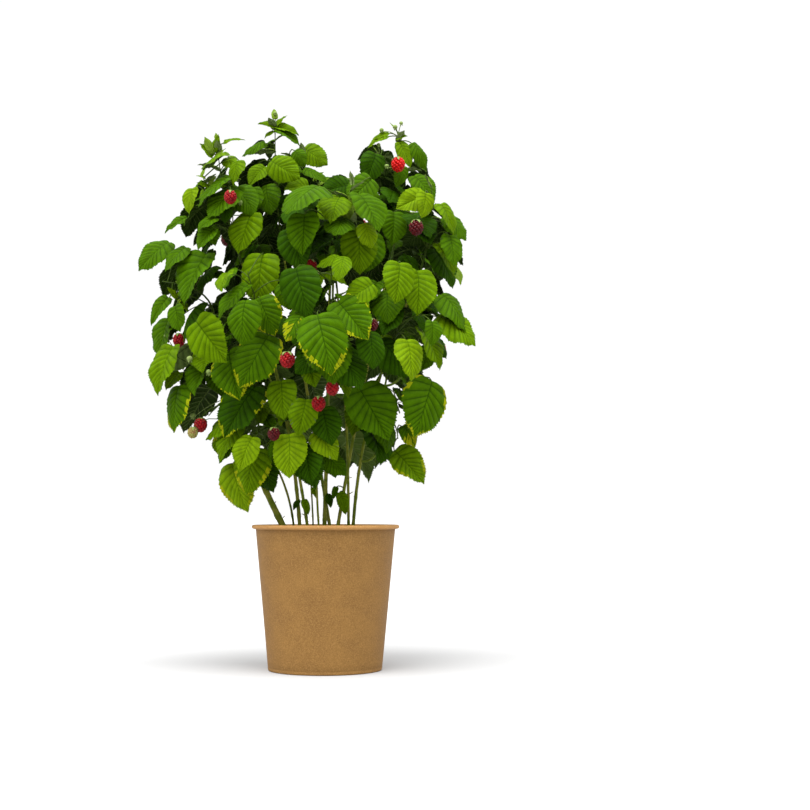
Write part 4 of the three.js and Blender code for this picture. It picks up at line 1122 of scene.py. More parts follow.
class Crown:
    """All foliage of the bush."""

    def __init__(self, limbs: Limbs) -> None:
        """Grows every mass by one rule, the outermost leaves first.

        Args:
            limbs: all canes and boughs.
        """
        self.limbs = limbs
        self.spaces = Spaces()
        self.growths = [Growth(name, i, limbs, self.spaces) for i, name in enumerate(MASSES)]
        self.shown: list[Shown] = []
        for growth in self.growths:
            growth.grow_stems()
        for row in FRONT_LEAVES:
            self._front_leaf(row)
        for row in FRONT_BERRIES:
            self._front_berry(*row)
        for growth in self.growths:
            growth.shown = self.shown
            growth.grow_berries()
            growth.grow_leaves(0, growth.leaves, SITE)
        for row in SMALL_FRONT_LEAVES:
            self._front_leaf(row)
        for row in YOUNG_LEAVES:
            self._young_leaf(row)
        for growth in self.growths:
            growth.grow_finer()

    def growth_at(self, place: Array) -> Growth:
        """The growth whose space holds a place."""
        return self.growths[self.spaces.holding(place)]

    @staticmethod
    def shifts() -> list[Pair]:
        """Sideways shifts of an outermost leaf.

        Returns:
            The smallest first: none, then rings of them.
        """
        found = [(0.0, 0.0)]
        for size in FRONT_FIT.shift_rings:
            for turn in range(FRONT_FIT.shift_turns):
                angle = turn * 2 * math.pi / FRONT_FIT.shift_turns
                found.append((size * math.cos(angle), size * math.sin(angle)))
        return found

    def _front_leaf(self, row: tuple) -> None:
        """Places an outermost leaf with the least change of scale, then of place, then of depth.

        Args:
            row: its row in the table.
        """
        front = self.spaces.front((row[0] + row[2]) / 2, (row[1] + row[3]) / 2) - FRONT_FIT.proud
        for scale, shift, back in product(FRONT_FIT.scales, self.shifts(), FRONT_FIT.set_backs):
            leaf = self._seen_leaf(row, front + back, scale, shift)
            growth = self.growth_at(leaf.at(0.5))
            stalk = growth.stalk_to(leaf.base, leaf.tip) if growth.fits(leaf) else None
            if stalk is not None:
                self._keep_front(growth, stalk, leaf)
                return
        leaf = self._seen_leaf(row, front + FRONT_FIT.set_backs[2])
        growth = self.growth_at(leaf.at(0.5))
        root = nearest(growth.all_anchors, leaf.base)
        self._keep_front(growth, growth.arching(root, leaf.base, leaf.tip), leaf)

    def _keep_front(self, growth: Growth, stalk: Bend, leaf: Leaflet) -> None:
        """Adds an outermost leaf, which nothing that grows later may hide."""
        growth.add_stalked(stalk, leaf)
        self.shown.append(Shown(leaf.at(0.5), leaf.length * FRONT_FIT.hides))

    @staticmethod
    def _seen_leaf(row: tuple, depth: float, scale: float = 1.0, shift: Pair = (0.0, 0.0)) -> Leaflet:
        """Shapes an outermost leaf.

        Args:
            row: its row in the table.
            depth: the depth of its middle.
            scale: its size, against the row's.
            shift: how far it is shifted sideways and up.

        Returns:
            The leaf.
        """
        base_x, base_z, tip_x, tip_z, tint, *yellowed = row
        length = math.hypot(tip_x - base_x, tip_z - base_z)
        tip = seen_at(tip_x + shift[0], tip_z + shift[1], depth - length * FRONT_FIT.tip_forth)
        base = seen_at(base_x + shift[0], base_z + shift[1], depth + length * FRONT_FIT.base_back)
        base = base * scale + tip * (1 - scale)
        length = float(np.linalg.norm(tip - base))
        face = vec((base[0] * FRONT_FIT.face_turn, *FRONT_FIT.face))
        return Leaflet(base, tip - base, face, length, length * LEAF.width_share, tint, bool(yellowed), 0.06)

    def _young_leaf(self, row: tuple) -> None:
        """Sets a young leaf on the shoot or cane that shows nearest to its base, at its depth.

        Args:
            row: its row in the table.
        """
        base_x, base_z, tip_x, tip_z, tint = row
        wood = np.concatenate([growth.all_anchors for growth in self.growths] + [self.limbs.samples])
        root = wood[np.linalg.norm(as_seen(wood) - (base_x, base_z), axis=1).argmin()]
        depth = root[1] - FRONT_FIT.young_proud
        base = seen_at(base_x, base_z, depth)
        length = math.hypot(tip_x - base_x, tip_z - base_z)
        tip = seen_at(tip_x, tip_z, depth - length * FRONT_FIT.young_forth)
        length = float(np.linalg.norm(tip - base))
        leaf = Leaflet(base, tip - base, vec(FRONT_FIT.young_face), length, length * STEM.young_width, tint)
        growth = self.growth_at(base)
        self._keep_front(growth, growth.arching(root, base, leaf.tip), leaf)

    def _front_berry(self, x: float, z: float, radius: float, ripeness: Ripeness) -> None:
        """Hangs a berry in front, where it fits, or just proud of the crown where it doesn't.

        Args:
            x: where it shows from the front.
            z: the height at which it shows.
            radius: its radius.
            ripeness: how ripe it is.
        """
        front = self.spaces.front(x, z) - 2 * FRONT_FIT.proud
        places = [seen_at(x, z, front + back) for back in FRONT_FIT.set_backs]
        for place in places:
            if self.growth_at(place).add_berry(place, radius, ripeness):
                self.shown.append(Shown(place, radius))
                return
        place = places[1]
        growth = self.growth_at(place)
        cap = place + UP * radius * STEM.berry_cap
        stalk = growth.arching(nearest(growth.all_anchors, cap), cap, -UP)
        growth.berries.append(Berry(place, radius, ripeness, stalk))
        self.shown.append(Shown(place, radius))


# ---- meshes from arrays

NO_QUADS = np.zeros((0, 4), int)
NO_TRIS = np.zeros((0, 3), int)
Shape = tuple[Array, Array, Array]  # points, faces of four corners and faces of three corners


@dataclass
class MeshBatch:
    """Gathers many small closed shapes into one mesh."""

    name: str
    count: int = 0
    points: list[Array] = field(default_factory=list)
    quads: list[Array] = field(default_factory=list)
    tris: list[Array] = field(default_factory=list)
    quad_slots: list[Array] = field(default_factory=list)
    tri_slots: list[Array] = field(default_factory=list)
    maps: list[Array] = field(default_factory=list)

    def add(self, shape: Shape, quad_slots: Array | int = 0, tri_slots: Array | int = 0) -> None:
        """Adds one shape.

        Args:
            shape: its points, in millimetres, and its faces.
            quad_slots: material slot of each face of four corners.
            tri_slots: material slot of each face of three corners.
        """
        points, quads, tris = shape
        self.points.append(points)
        self.quads.append(quads + self.count)
        self.tris.append(tris + self.count)
        self.quad_slots.append(np.broadcast_to(quad_slots, len(quads)))
        self.tri_slots.append(np.broadcast_to(tri_slots, len(tris)))
        self.count += len(points)

    def build(self, materials: Sequence[Material], slot: str, tiles: int = 0) -> Piece:
        """Makes the object.

        Args:
            materials: one for each slot.
            slot: the record's material slot; not used.
            tiles: how many tiles a side the map for stored colours has, one tile for each material.

        Returns:
            The object, in metres.
        """
        quads, tris = np.concatenate((NO_QUADS, *self.quads)), np.concatenate((NO_TRIS, *self.tris))
        loops = np.concatenate((quads.ravel(), tris.ravel())).astype(np.int32)
        totals = np.concatenate((np.full(len(quads), 4), np.full(len(tris), 3)))
        slots = np.concatenate((*self.quad_slots, *self.tri_slots)).astype(np.int32)
        starts = np.concatenate(([0], np.cumsum(totals)[:-1])).astype(np.int32)
        mesh = bpy.data.meshes.new(self.name)
        mesh.vertices.add(self.count)
        mesh.vertices.foreach_set("co", (np.concatenate(self.points) * MM).astype(np.float32).ravel())
        mesh.loops.add(len(loops))
        mesh.loops.foreach_set("vertex_index", loops)
        mesh.polygons.add(len(totals))
        mesh.polygons.foreach_set("loop_start", starts)
        mesh.polygons.foreach_set("material_index", slots)
        mesh.polygons.foreach_set("use_smooth", np.ones(len(totals), bool))
        mesh.update(calc_edges=True)
        mesh.validate()
        for material in materials:
            mesh.materials.append(material)
        if self.maps:
            self._lay_maps(mesh, np.concatenate(self.maps)[loops], np.repeat(slots, totals), tiles)
        piece = bpy.data.objects.new(self.name, mesh)
        bpy.context.scene.collection.objects.link(piece)
        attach(piece, BODY)
        return piece

    @staticmethod
    def _lay_maps(mesh: bpy.types.Mesh, own: Array, slots: Array, tiles: int) -> None:
        """Lays the material's own map, and the map for stored colours with one tile for each material.

        Args:
            mesh: the mesh.
            own: place of each face corner on the material's own map.
            slots: material slot of each face corner.
            tiles: how many tiles a side the stored map has.
        """
        layer = mesh.uv_layers.new(name="blade")
        layer.data.foreach_set("uv", own.astype(np.float32).ravel())
        stored = mesh.uv_layers.new(name="OFBake")
        corner = np.stack((slots % tiles, slots // tiles), axis=1)
        stored.data.foreach_set("uv", ((corner + 0.02 + own * 0.96) / tiles).astype(np.float32).ravel())
        mesh.uv_layers.active = layer
        layer.active_render = True


def turns(count: int) -> Array:
    """Angles that part a full turn evenly."""
    return np.arange(count) * 2 * math.pi / count


def capped(rings: Array, start: Sequence[float], end: Sequence[float]) -> Shape:
    """Rings of points joined into a closed shape, with a point in the middle of each end.

    Args:
        rings: the points of each ring.
        start: the point that closes the first ring.
        end: the point that closes the last ring.

    Returns:
        The shape.
    """
    count, sides = rings.shape[:2]
    side = np.arange(sides)
    after = (side + 1) % sides
    row = np.arange(count - 1)[:, None] * sides
    quads = np.stack((row + side, row + after, row + sides + after, row + sides + side), axis=-1)
    last = (count - 1) * sides
    foot = np.stack((after, side, np.full(sides, count * sides)), axis=1)
    head = np.stack((side + last, after + last, np.full(sides, count * sides + 1)), axis=1)
    points = np.concatenate((rings.reshape(-1, 3), [start, end]))
    return points, quads.reshape(-1, 4), np.concatenate((foot, head))


def tube(points: Array, radii: Array, sides: int) -> Shape:
    """A closed tube along points.

    Args:
        points: the points of its axis.
        radii: radius at each point, or at each point and side.
        sides: number of its sides.

    Returns:
        The shape.
    """
    count = len(points)
    along = np.gradient(points, axis=0)
    along /= np.linalg.norm(along, axis=1)[:, None]
    normals = np.empty_like(points)
    normals[0] = unit(np.cross(along[0], UP if abs(along[0][2]) < 0.9 else vec((1, 0, 0))))
    for i in range(1, count):
        normals[i] = unit(normals[i - 1] - along[i] * float(normals[i - 1] @ along[i]))
    second = np.cross(along, normals)
    cos, sin = np.cos(turns(sides))[None, :, None], np.sin(turns(sides))[None, :, None]
    radii = np.broadcast_to(radii.reshape(count, -1), (count, sides))
    rings = points[:, None] + (normals[:, None] * cos + second[:, None] * sin) * radii[..., None]
    return capped(rings, points[0], points[-1])


def small_ball() -> Shape:
    """A round ball of 80 faces.

    Returns:
        The shape, with a radius of one.
    """
    golden = (1 + math.sqrt(5)) / 2
    corners = [(-1, golden, 0), (1, golden, 0), (-1, -golden, 0), (1, -golden, 0)]
    corners += [(0, -1, golden), (0, 1, golden), (0, -1, -golden), (0, 1, -golden)]
    corners += [(golden, 0, -1), (golden, 0, 1), (-golden, 0, -1), (-golden, 0, 1)]
    points = [unit(vec(corner)) for corner in corners]
    halves: dict[tuple[int, ...], int] = {}
    faces = []
    for i, j, k in combinations(range(12), 3):
        sides = (points[i] - points[j], points[j] - points[k], points[k] - points[i])
        if max(np.linalg.norm(side) for side in sides) > 1.1:
            continue
        face = (i, j, k) if float(np.cross(sides[0], sides[1]) @ points[i]) > 0 else (i, k, j)
        mids = []
        for pair in zip(face, face[1:] + face[:1]):
            key = tuple(sorted(pair))
            if key not in halves:
                halves[key] = len(points)
                points.append(unit(points[pair[0]] + points[pair[1]]))
            mids.append(halves[key])
        faces += [(face[n], mids[n], mids[n - 1]) for n in range(3)]
        faces.append(tuple(mids))
    return np.array(points), NO_QUADS, np.array(faces)


# ---- shader nodes


@dataclass
class NodeBoard:
    """Adds and joins shader nodes in one tree."""

    tree: Tree

    def feed(self, node: bpy.types.Node, inputs: dict) -> None:
        """Sets a node's inputs.

        Args:
            node: the node.
            inputs: a value or a socket for each named or numbered input.
        """
        for key, value in inputs.items():
            if isinstance(value, Socket):
                self.tree.links.new(value, node.inputs[key])
            else:
                node.inputs[key].default_value = value

    def add(self, kind: str, inputs: dict | None = None, **settings: object) -> bpy.types.Node:
        """Adds a node.

        Args:
            kind: the node's type.
            inputs: a value or a socket for each named or numbered input.
            settings: the node's own settings.

        Returns:
            The node.
        """
        node = self.tree.nodes.new(kind)
        for key, value in settings.items():
            setattr(node, key, value)
        self.feed(node, inputs or {})
        return node

    def math(self, operation: str, *values: object) -> Socket:
        """The result of a sum on values or sockets."""
        return self.add("ShaderNodeMath", dict(enumerate(values)), operation=operation).outputs[0]

    def ramp(self, value: object, low: float, high: float, start: float = 0.0, end: float = 1.0) -> Socket:
        """A value carried smoothly from one range to another."""
        inputs = {"Value": value, "From Min": low, "From Max": high, "To Min": start, "To Max": end}
        return self.add("ShaderNodeMapRange", inputs, interpolation_type="SMOOTHSTEP").outputs["Result"]

    def blend(self, factor: object, first: object, second: object) -> Socket:
        """A colour between two colours."""
        return self.add("ShaderNodeMix", {"Factor": factor, 6: first, 7: second}, data_type="RGBA").outputs[2]

    def noise(self, place: object, scale: float, detail: float = 3.0, rough: float = 0.5) -> Socket:
        """A noise value from 0 to 1."""
        inputs = {"Vector": place, "Scale": scale, "Detail": detail, "Roughness": rough}
        return self.add("ShaderNodeTexNoise", inputs).outputs["Fac"]

    def relief(self, height: object, distance: float, strength: float) -> Socket:
        """A normal from a height, for a relief of some millimetres."""
        inputs = {"Height": height, "Distance": distance * MM, "Strength": strength}
        return self.add("ShaderNodeBump", inputs).outputs["Normal"]

    def grain(self, group: Tree, scale: float, stretch: Sequence[float]) -> tuple[Socket, ...]:
        """Lays the grain pattern over the object.

        Args:
            group: the grain pattern.
            scale: its scale.
            stretch: how much finer its streaks are along each axis.

        Returns:
            The place, and the values Cloud, Streak and Speck.
        """
        place = self.add("ShaderNodeTexCoord").outputs["Object"]
        inputs = {"Place": place, "Scale": scale, "Stretch": stretch}
        pattern = self.add("ShaderNodeGroup", inputs, node_tree=group)
        return place, *(pattern.outputs[key] for key in ("Cloud", "Streak", "Speck"))


def node_group(name: str, ins: dict[str, str], outs: Sequence[str]) -> tuple[Tree, NodeBoard, bpy.types.Node]:
    """Starts a shader node group with named sockets.

    Args:
        name: the group's name.
        ins: socket type of each input.
        outs: names of the outputs, all plain values.

    Returns:
        The group, a board to add its nodes with and the node of its inputs.
    """
    group = bpy.data.node_groups.new(name, "ShaderNodeTree")
    for label, kind in ins.items():
        group.interface.new_socket(name=label, in_out="INPUT", socket_type=kind)
    for label in outs:
        group.interface.new_socket(name=label, in_out="OUTPUT", socket_type="NodeSocketFloat")
    board = NodeBoard(group)
    return group, board, board.add("NodeGroupInput")


@dataclass(frozen=True)
class VeinPattern:
    """Draws a leaflet's veins on its own map: across from 0 to 1, and along from base to tip."""

    side_vein: float = 0.13
    side_fade: Floats = (0.34, 0.5, 1.0, 0.45)
    # puff: where the blade between the side veins is painted lighter on its puffs, a painted highlight, and
    # darker near the veins, painted shade, partly the leaf's own tone
    rib: Pair = (0.004, 0.022)
    puff: Pair = (0.06, 0.42)
    net_stretch: Triple = (1.0, 1.3, 1.0)
    net_scale: float = 38.0
    net_line: float = 0.09

    def build(self) -> Tree:
        """Builds the group.

        Returns:
            The group, with outputs Vein, Puff, Net and Mottle.
        """
        ins = {"Place": "NodeSocketVector", "Pairs": "NodeSocketFloat"}
        group, board, source = node_group("leaf_veins", ins, ("Vein", "Puff", "Net", "Mottle"))
        place = source.outputs["Place"]
        parts = board.add("ShaderNodeSeparateXYZ", {0: place})
        across = board.math("ABSOLUTE", board.math("SUBTRACT", parts.outputs[0], 0.5))
        row = board.math("FRACT", board.math("MULTIPLY", parts.outputs[1], source.outputs["Pairs"]))
        off_row = board.math("MINIMUM", row, board.math("SUBTRACT", 1.0, row))
        side_vein = board.ramp(off_row, 0.0, self.side_vein, 1.0, 0.0)
        side_vein = board.math("MULTIPLY", side_vein, board.ramp(across, *self.side_fade))
        rib = board.ramp(across, *self.rib, 1.0, 0.0)
        stretched = board.add("ShaderNodeVectorMath", {0: place, 1: self.net_stretch}, operation="MULTIPLY")
        cells = {"Vector": stretched.outputs[0], "Scale": self.net_scale}
        net = board.add("ShaderNodeTexVoronoi", cells, feature="DISTANCE_TO_EDGE").outputs["Distance"]
        results = {
            "Vein": board.math("MAXIMUM", side_vein, rib),
            "Puff": board.ramp(off_row, *self.puff),
            "Net": board.ramp(net, 0.0, self.net_line, 1.0, 0.0),
            "Mottle": board.noise(place, 4.0, 4.0, 0.6),
        }
        board.add("NodeGroupOutput", results)
        return group


@dataclass(frozen=True)
class GrainPattern:
    """Gives clouds, streaks and specks at a scale, for bark, paper and soil."""

    streak_scale: float = 6.0
    speck_scale: float = 22.0
    speck_size: Pair = (0.05, 0.3)

    def build(self) -> Tree:
        """Builds the group.

        Returns:
            The group, with outputs Cloud, Streak and Speck.
        """
        ins = {"Place": "NodeSocketVector", "Scale": "NodeSocketFloat", "Stretch": "NodeSocketVector"}
        group, board, source = node_group("grain", ins, ("Cloud", "Streak", "Speck"))
        place, scale, stretch = (source.outputs[key] for key in ins)
        drawn = board.add("ShaderNodeVectorMath", {0: place, 1: stretch}, operation="MULTIPLY").outputs[0]
        streaks = {"Vector": drawn, "Scale": board.math("MULTIPLY", scale, self.streak_scale), "Detail": 3.0}
        specks = {"Vector": place, "Scale": board.math("MULTIPLY", scale, self.speck_scale)}
        cells = board.add("ShaderNodeTexVoronoi", specks).outputs["Distance"]
        results = {
            "Cloud": board.noise(place, scale, 4.0),
            "Streak": board.add("ShaderNodeTexNoise", streaks).outputs["Fac"],
            "Speck": board.ramp(cells, *self.speck_size, 1.0, 0.0),
        }
        board.add("NodeGroupOutput", results)
        return group


# ---- finishes


def new_material(name: str) -> tuple[Material, NodeBoard, bpy.types.Node]:
    """A material with an empty Principled shader.

    Args:
        name: the material's name.

    Returns:
        The material, a board for its nodes and its shader.
    """
    material = bpy.data.materials.new(name)
    material.use_nodes = True
    shader = next(node for node in material.node_tree.nodes if node.type == "BSDF_PRINCIPLED")
    return material, NodeBoard(material.node_tree), shader


def toned(colour: Colour, share: float) -> Colour:
    """A colour made lighter or darker by a share."""
    return (*(min(1.0, channel * share) for channel in colour[:3]), 1.0)


@dataclass(frozen=True)
class LeafFinish:
    """One side of a leaf in one green."""

    name: str
    colour: Colour
    # vein: on an upper side a dark colour, painted shade in the sunk vein grooves; on an underside the raised
    # veins' own pale colour
    vein: Colour
    vein_share: float = 0.72
    roughness: float = 0.46
    raised: float = -0.3
    pairs: float = 11.0
    deep: float = 0.7
    pale: float = 1.2
    # puff_light: how much lighter the puffs are painted, a painted highlight, partly the leaf's own tone
    puff_light: float = 0.36
    mottle_light: float = 0.64
    net_share: float = 0.34
    gloss: float = 0.02

    def build(self, veins: Tree) -> Material:
        """Builds the material.

        Args:
            veins: the group that draws the veins.

        Returns:
            The material.
        """
        material, board, shader = new_material(self.name)
        place = board.add("ShaderNodeUVMap", uv_map="blade").outputs["UV"]
        pattern = board.add("ShaderNodeGroup", {"Place": place, "Pairs": self.pairs}, node_tree=veins)
        vein, puff, net, mottle = (pattern.outputs[key] for key in ("Vein", "Puff", "Net", "Mottle"))
        patches = board.ramp(mottle, 0.34, 0.66, 0.0, self.mottle_light)
        # the painted highlight on the puffs and painted shade near the veins, partly the leaf's own tone,
        # with the leaf's own random patches
        light = board.math("ADD", board.math("MULTIPLY", puff, self.puff_light), patches)
        blade = board.blend(light, toned(self.colour, self.deep), toned(self.colour, self.pale))
        # the fine net of veins takes the same colour, on an upper side painted groove shade
        blade = board.blend(board.math("MULTIPLY", net, self.vein_share * self.net_share), blade, self.vein)
        lines = board.math("ADD", vein, board.math("MULTIPLY", net, 0.5))
        height = board.math("MULTIPLY", lines, self.raised)
        looks = {
            "Base Color": board.blend(board.math("MULTIPLY", vein, self.vein_share), blade, self.vein),
            "Roughness": board.ramp(mottle, 0.2, 0.8, self.roughness - 0.05, self.roughness + 0.08),
            "Normal": board.relief(height, 0.9, 0.7),
            "Specular IOR Level": self.gloss,
        }
        board.feed(shader, looks)
        return material


@dataclass(frozen=True)
class BarkFinish:
    """Bark with streaks along the limb, darker specks and fine relief."""

    name: str
    colour: Colour
    second: Colour
    speck: Colour
    scale: float = 60.0
    roughness: float = 0.55
    stretch: Triple = (3.0, 3.0, 0.5)
    gloss: float = 0.06

    def build(self, grain: Tree) -> Material:
        """Builds the material.

        Args:
            grain: the group that gives clouds, streaks and specks.

        Returns:
            The material.
        """
        material, board, shader = new_material(self.name)
        _, cloud, streak, speck = board.grain(grain, self.scale, self.stretch)
        bark = board.blend(board.ramp(cloud, 0.38, 0.62), self.colour, self.second)
        bark = board.blend(board.math("MULTIPLY", speck, 0.5), bark, self.speck)
        streaks = board.ramp(streak, 0.55, 0.75, 0.0, 0.6)
        looks = {
            "Base Color": board.blend(streaks, bark, toned(self.colour, 0.6)),
            "Roughness": board.ramp(streak, 0.3, 0.7, self.roughness - 0.1, self.roughness + 0.1),
            "Normal": board.relief(streak, 0.3, 0.5),
            "Specular IOR Level": self.gloss,
        }
        board.feed(shader, looks)
        return material


@dataclass(frozen=True)
class BerryFinish:
    """Juicy drupelets under a fine bloom."""

    name: str
    colour: Colour
    shade: Colour
    roughness: float = 0.3
    gloss: float = 0.16

    def build(self) -> Material:
        """Builds the material.

        Returns:
            The material.
        """
        material, board, shader = new_material(self.name)
        cloud = board.noise(board.add("ShaderNodeTexCoord").outputs["Object"], 260.0, 2.0)
        looks = {
            "Base Color": board.blend(board.ramp(cloud, 0.36, 0.64), self.shade, self.colour),
            "Roughness": board.ramp(cloud, 0.2, 0.8, self.roughness, self.roughness + 0.16),
            "Specular IOR Level": self.gloss,
        }
        board.feed(shader, looks)
        return material


@dataclass(frozen=True)
class KraftPaperFinish:
    """Brown kraft paper: soft clouds, short fibres and dark and light flecks."""

    name: str = "kraft_paper"
    colour: Colour = srgb(127, 92, 43)
    deep: Colour = srgb(116, 82, 35)
    fibre: Colour = srgb(148, 111, 59)
    fleck: Colour = srgb(89, 61, 24)
    scale: float = 34.0
    stretch: Triple = (4.0, 4.0, 3.4)
    gloss: float = 0.3

    def build(self, grain: Tree) -> Material:
        """Builds the material.

        Args:
            grain: the group that gives clouds, streaks and specks.

        Returns:
            The material.
        """
        material, board, shader = new_material(self.name)
        place, cloud, streak, speck = board.grain(grain, self.scale, self.stretch)
        fine = board.noise(place, 700.0, 3.0, 0.6)
        paper = board.blend(board.ramp(cloud, 0.3, 0.7), self.deep, self.colour)
        paper = board.blend(board.ramp(fine, 0.46, 0.66, 0.0, 0.65), paper, self.fibre)
        paper = board.blend(board.ramp(fine, 0.42, 0.3, 0.0, 0.5), paper, self.fleck)
        paper = board.blend(board.ramp(streak, 0.54, 0.68, 0.0, 0.55), paper, self.fibre)
        looks = {
            "Base Color": board.blend(board.math("MULTIPLY", speck, 0.2), paper, self.fleck),
            "Roughness": board.ramp(cloud, 0.2, 0.8, 0.66, 0.8),
            "Normal": board.relief(board.math("ADD", streak, fine), 0.12, 0.5),
            "Specular IOR Level": self.gloss,
        }
        board.feed(shader, looks)
        return material


@dataclass(frozen=True)
class SoilFinish:
    """Dark moist potting mix with paler bits."""

    name: str = "potting_soil"
    colour: Colour = srgb(40, 29, 20)
    pale: Colour = srgb(82, 62, 42)
    scale: float = 70.0

    def build(self, grain: Tree) -> Material:
        """Builds the material.

        Args:
            grain: the group that gives clouds, streaks and specks.

        Returns:
            The material.
        """
        material, board, shader = new_material(self.name)
        _, cloud, streak, _ = board.grain(grain, self.scale, (1.0, 1.0, 1.0))
        looks = {
            "Base Color": board.blend(board.ramp(streak, 0.5, 0.72, 0.0, 0.8), self.colour, self.pale),
            "Roughness": board.ramp(cloud, 0.2, 0.8, 0.8, 0.95),
            "Normal": board.relief(streak, 1.0, 0.8),
        }
        board.feed(shader, looks)
        return material


# ---- foliage meshes


class LeafPress:
    """Shapes leaflets: toothed outline, blade puffed between the side veins, sunk midrib and underside."""

    THICKNESS = 0.5
    TOOTH = 0.011
    VEIN_TOOTH = 0.005
    PUFF = 0.024
    LOBE, LOBE_AT = 0.085, 0.05  # how far the base reaches back beside the stalk, and where
    FORWARD, FORWARD_LESS = 0.38, 0.45  # how far the rows run forward, and how much less towards the tip
    POINT, POINT_AT = 0.78, 0.13  # how much the drawn-out tip narrows, and over which share of the length
    WIDEST = 0.437  # the greatest value of the plain outline
    RIM, WAVE = 0.022, 0.036
    RIB_SUNK, RIB_HALF = 0.012, 0.08
    YELLOW, YELLOW_INNER = 0.48, 0.74  # from which value of the patches the cells turn yellow

    def __init__(self, pairs: int, rows: int, columns: Sequence[float]) -> None:
        """Lays out the grid of the blade and its faces.

        Args:
            pairs: pairs of side veins.
            rows: rows of the grid from base to tip.
            columns: shares of the half width where the grid has its columns, from the midrib outwards.
        """
        self.pairs = pairs
        half = np.array(columns)
        self.across = np.concatenate((-half[:0:-1], half))
        self.shares = np.linspace(0, 1, rows + 1)[1:-1]
        self._outline()
        self._faces()

    def _outline(self) -> None:
        """The flat grid: rows follow the side veins, forward and outward from the midrib."""
        t = self.shares
        lobe = self.LOBE * (t / self.LOBE_AT) * np.exp(1 - t / self.LOBE_AT)
        forward = t + self.FORWARD * np.sin(math.pi * t) * (1 - self.FORWARD_LESS * t)
        point = 1 - self.POINT * np.exp((forward - 1) / self.POINT_AT)
        width = forward**0.5 * (1 - forward) ** 0.72 / self.WIDEST * point
        notch = np.where(np.arange(len(t)) % 2 == 0, 1.0, -1.0)
        tooth = notch * self.TOOTH + self.VEIN_TOOTH * np.cos(2 * math.pi * self.pairs * t)
        tooth *= np.clip(4 * width, 0, 1)
        out = np.abs(self.across)
        edge = np.where(out > 0.99, 1.0, 0.0)
        flat = t[:, None] + (forward - lobe - t)[:, None] * out**0.9
        self.x = flat + np.clip(tooth, 0, None)[:, None] * edge
        self.y = self.across * (width[:, None] + 2 / LEAF.width_share * tooth[:, None] * edge)
        self.t = np.broadcast_to(t[:, None], self.x.shape)
        self.v = np.broadcast_to(self.across, self.x.shape)
        self.width = np.broadcast_to(width[:, None], self.x.shape)

    def _faces(self) -> None:
        """Faces of the upper side and the underside, which share the margin."""
        rows, columns = self.x.shape
        top = 2 + np.arange(rows * columns).reshape(rows, columns)
        inner = 2 + rows * columns + np.arange(rows * (columns - 2)).reshape(rows, columns - 2)
        low = np.concatenate((top[:, :1], inner, top[:, -1:]), axis=1)
        quads, tris = [], []
        for grid, flip in ((top, False), (low, True)):
            four = np.stack((grid[:-1, :-1], grid[1:, :-1], grid[1:, 1:], grid[:-1, 1:]), -1).reshape(-1, 4)
            base = np.stack((np.zeros(columns - 1, int), grid[0, :-1], grid[0, 1:]), -1)
            tip = np.stack((grid[-1, :-1], np.ones(columns - 1, int), grid[-1, 1:]), -1)
            three = np.concatenate((base, tip))
            quads.append(four[:, ::-1] if flip else four)
            tris.append(three[:, ::-1] if flip else three)
        self.quads, self.tris = np.concatenate(quads), np.concatenate(tris)
        self.upper_quads, self.upper_tris = len(quads[0]), len(tris[0])
        flat = np.stack((self.v * 0.5 + 0.5, self.t), -1)
        ends = np.array([[0.5, 0.0], [0.5, 1.0]])
        self.places = np.concatenate((ends, flat.reshape(-1, 2), flat[:, 1:-1].reshape(-1, 2)))

    def _height(self, draws: Draws) -> Array:
        """Height of each grid point over the plane of the margins.

        Args:
            draws: seeded numbers for the leaflet's own bends.

        Returns:
            The heights, over the length.
        """
        arch = LEAF.crest_share * (1.0 + draws.spread(0.8))
        fold = 0.03 + draws.spread(0.1)
        out = np.abs(self.v)
        puffed = 2 * np.abs(np.sin(math.pi * self.pairs * self.t)) ** 0.8 - 1
        high = arch * (1 - out**2) + fold * out + self.RIM * np.sin(math.pi * out**0.8)
        high -= self.RIB_SUNK * np.exp(-((out / self.RIB_HALF) ** 2)) * (1 - self.t)
        high += self.PUFF * puffed * np.sqrt(out) * (1 - 0.6 * out)
        phase, waves = draws.next() * 2 * math.pi, 1.6 + draws.next() * 1.6
        high += self.WAVE * out**2 * np.sin(2 * math.pi * waves * self.t + phase + np.sign(self.v))
        return high * np.sqrt(self.width)

    def _yellow_slots(self, slots: Array, draws: Draws) -> Array:
        """Yellows patches on the margin, most of them near the tip.

        Args:
            slots: slots of the upper side's cells.
            draws: seeded numbers for the patches.

        Returns:
            The slots with the patches.
        """
        rows, columns = self.x.shape
        cells = slots.reshape(rows - 1, columns - 1).copy()
        for outer, inner in ((0, 1), (-1, -2)):
            phase = draws.next() * 6
            for row, share in enumerate(self.shares[:-1]):
                patch = 0.42 + 0.36 * math.sin(share * 9 + phase) + 0.5 * share + draws.spread(0.18)
                patch *= 0.6 + 0.5 * abs(math.sin(math.pi * self.pairs * share))
                if patch > self.YELLOW:
                    cells[row, outer] = YELLOWED
                if patch > self.YELLOW_INNER:
                    cells[row, inner] = YELLOWED
        return cells.ravel()

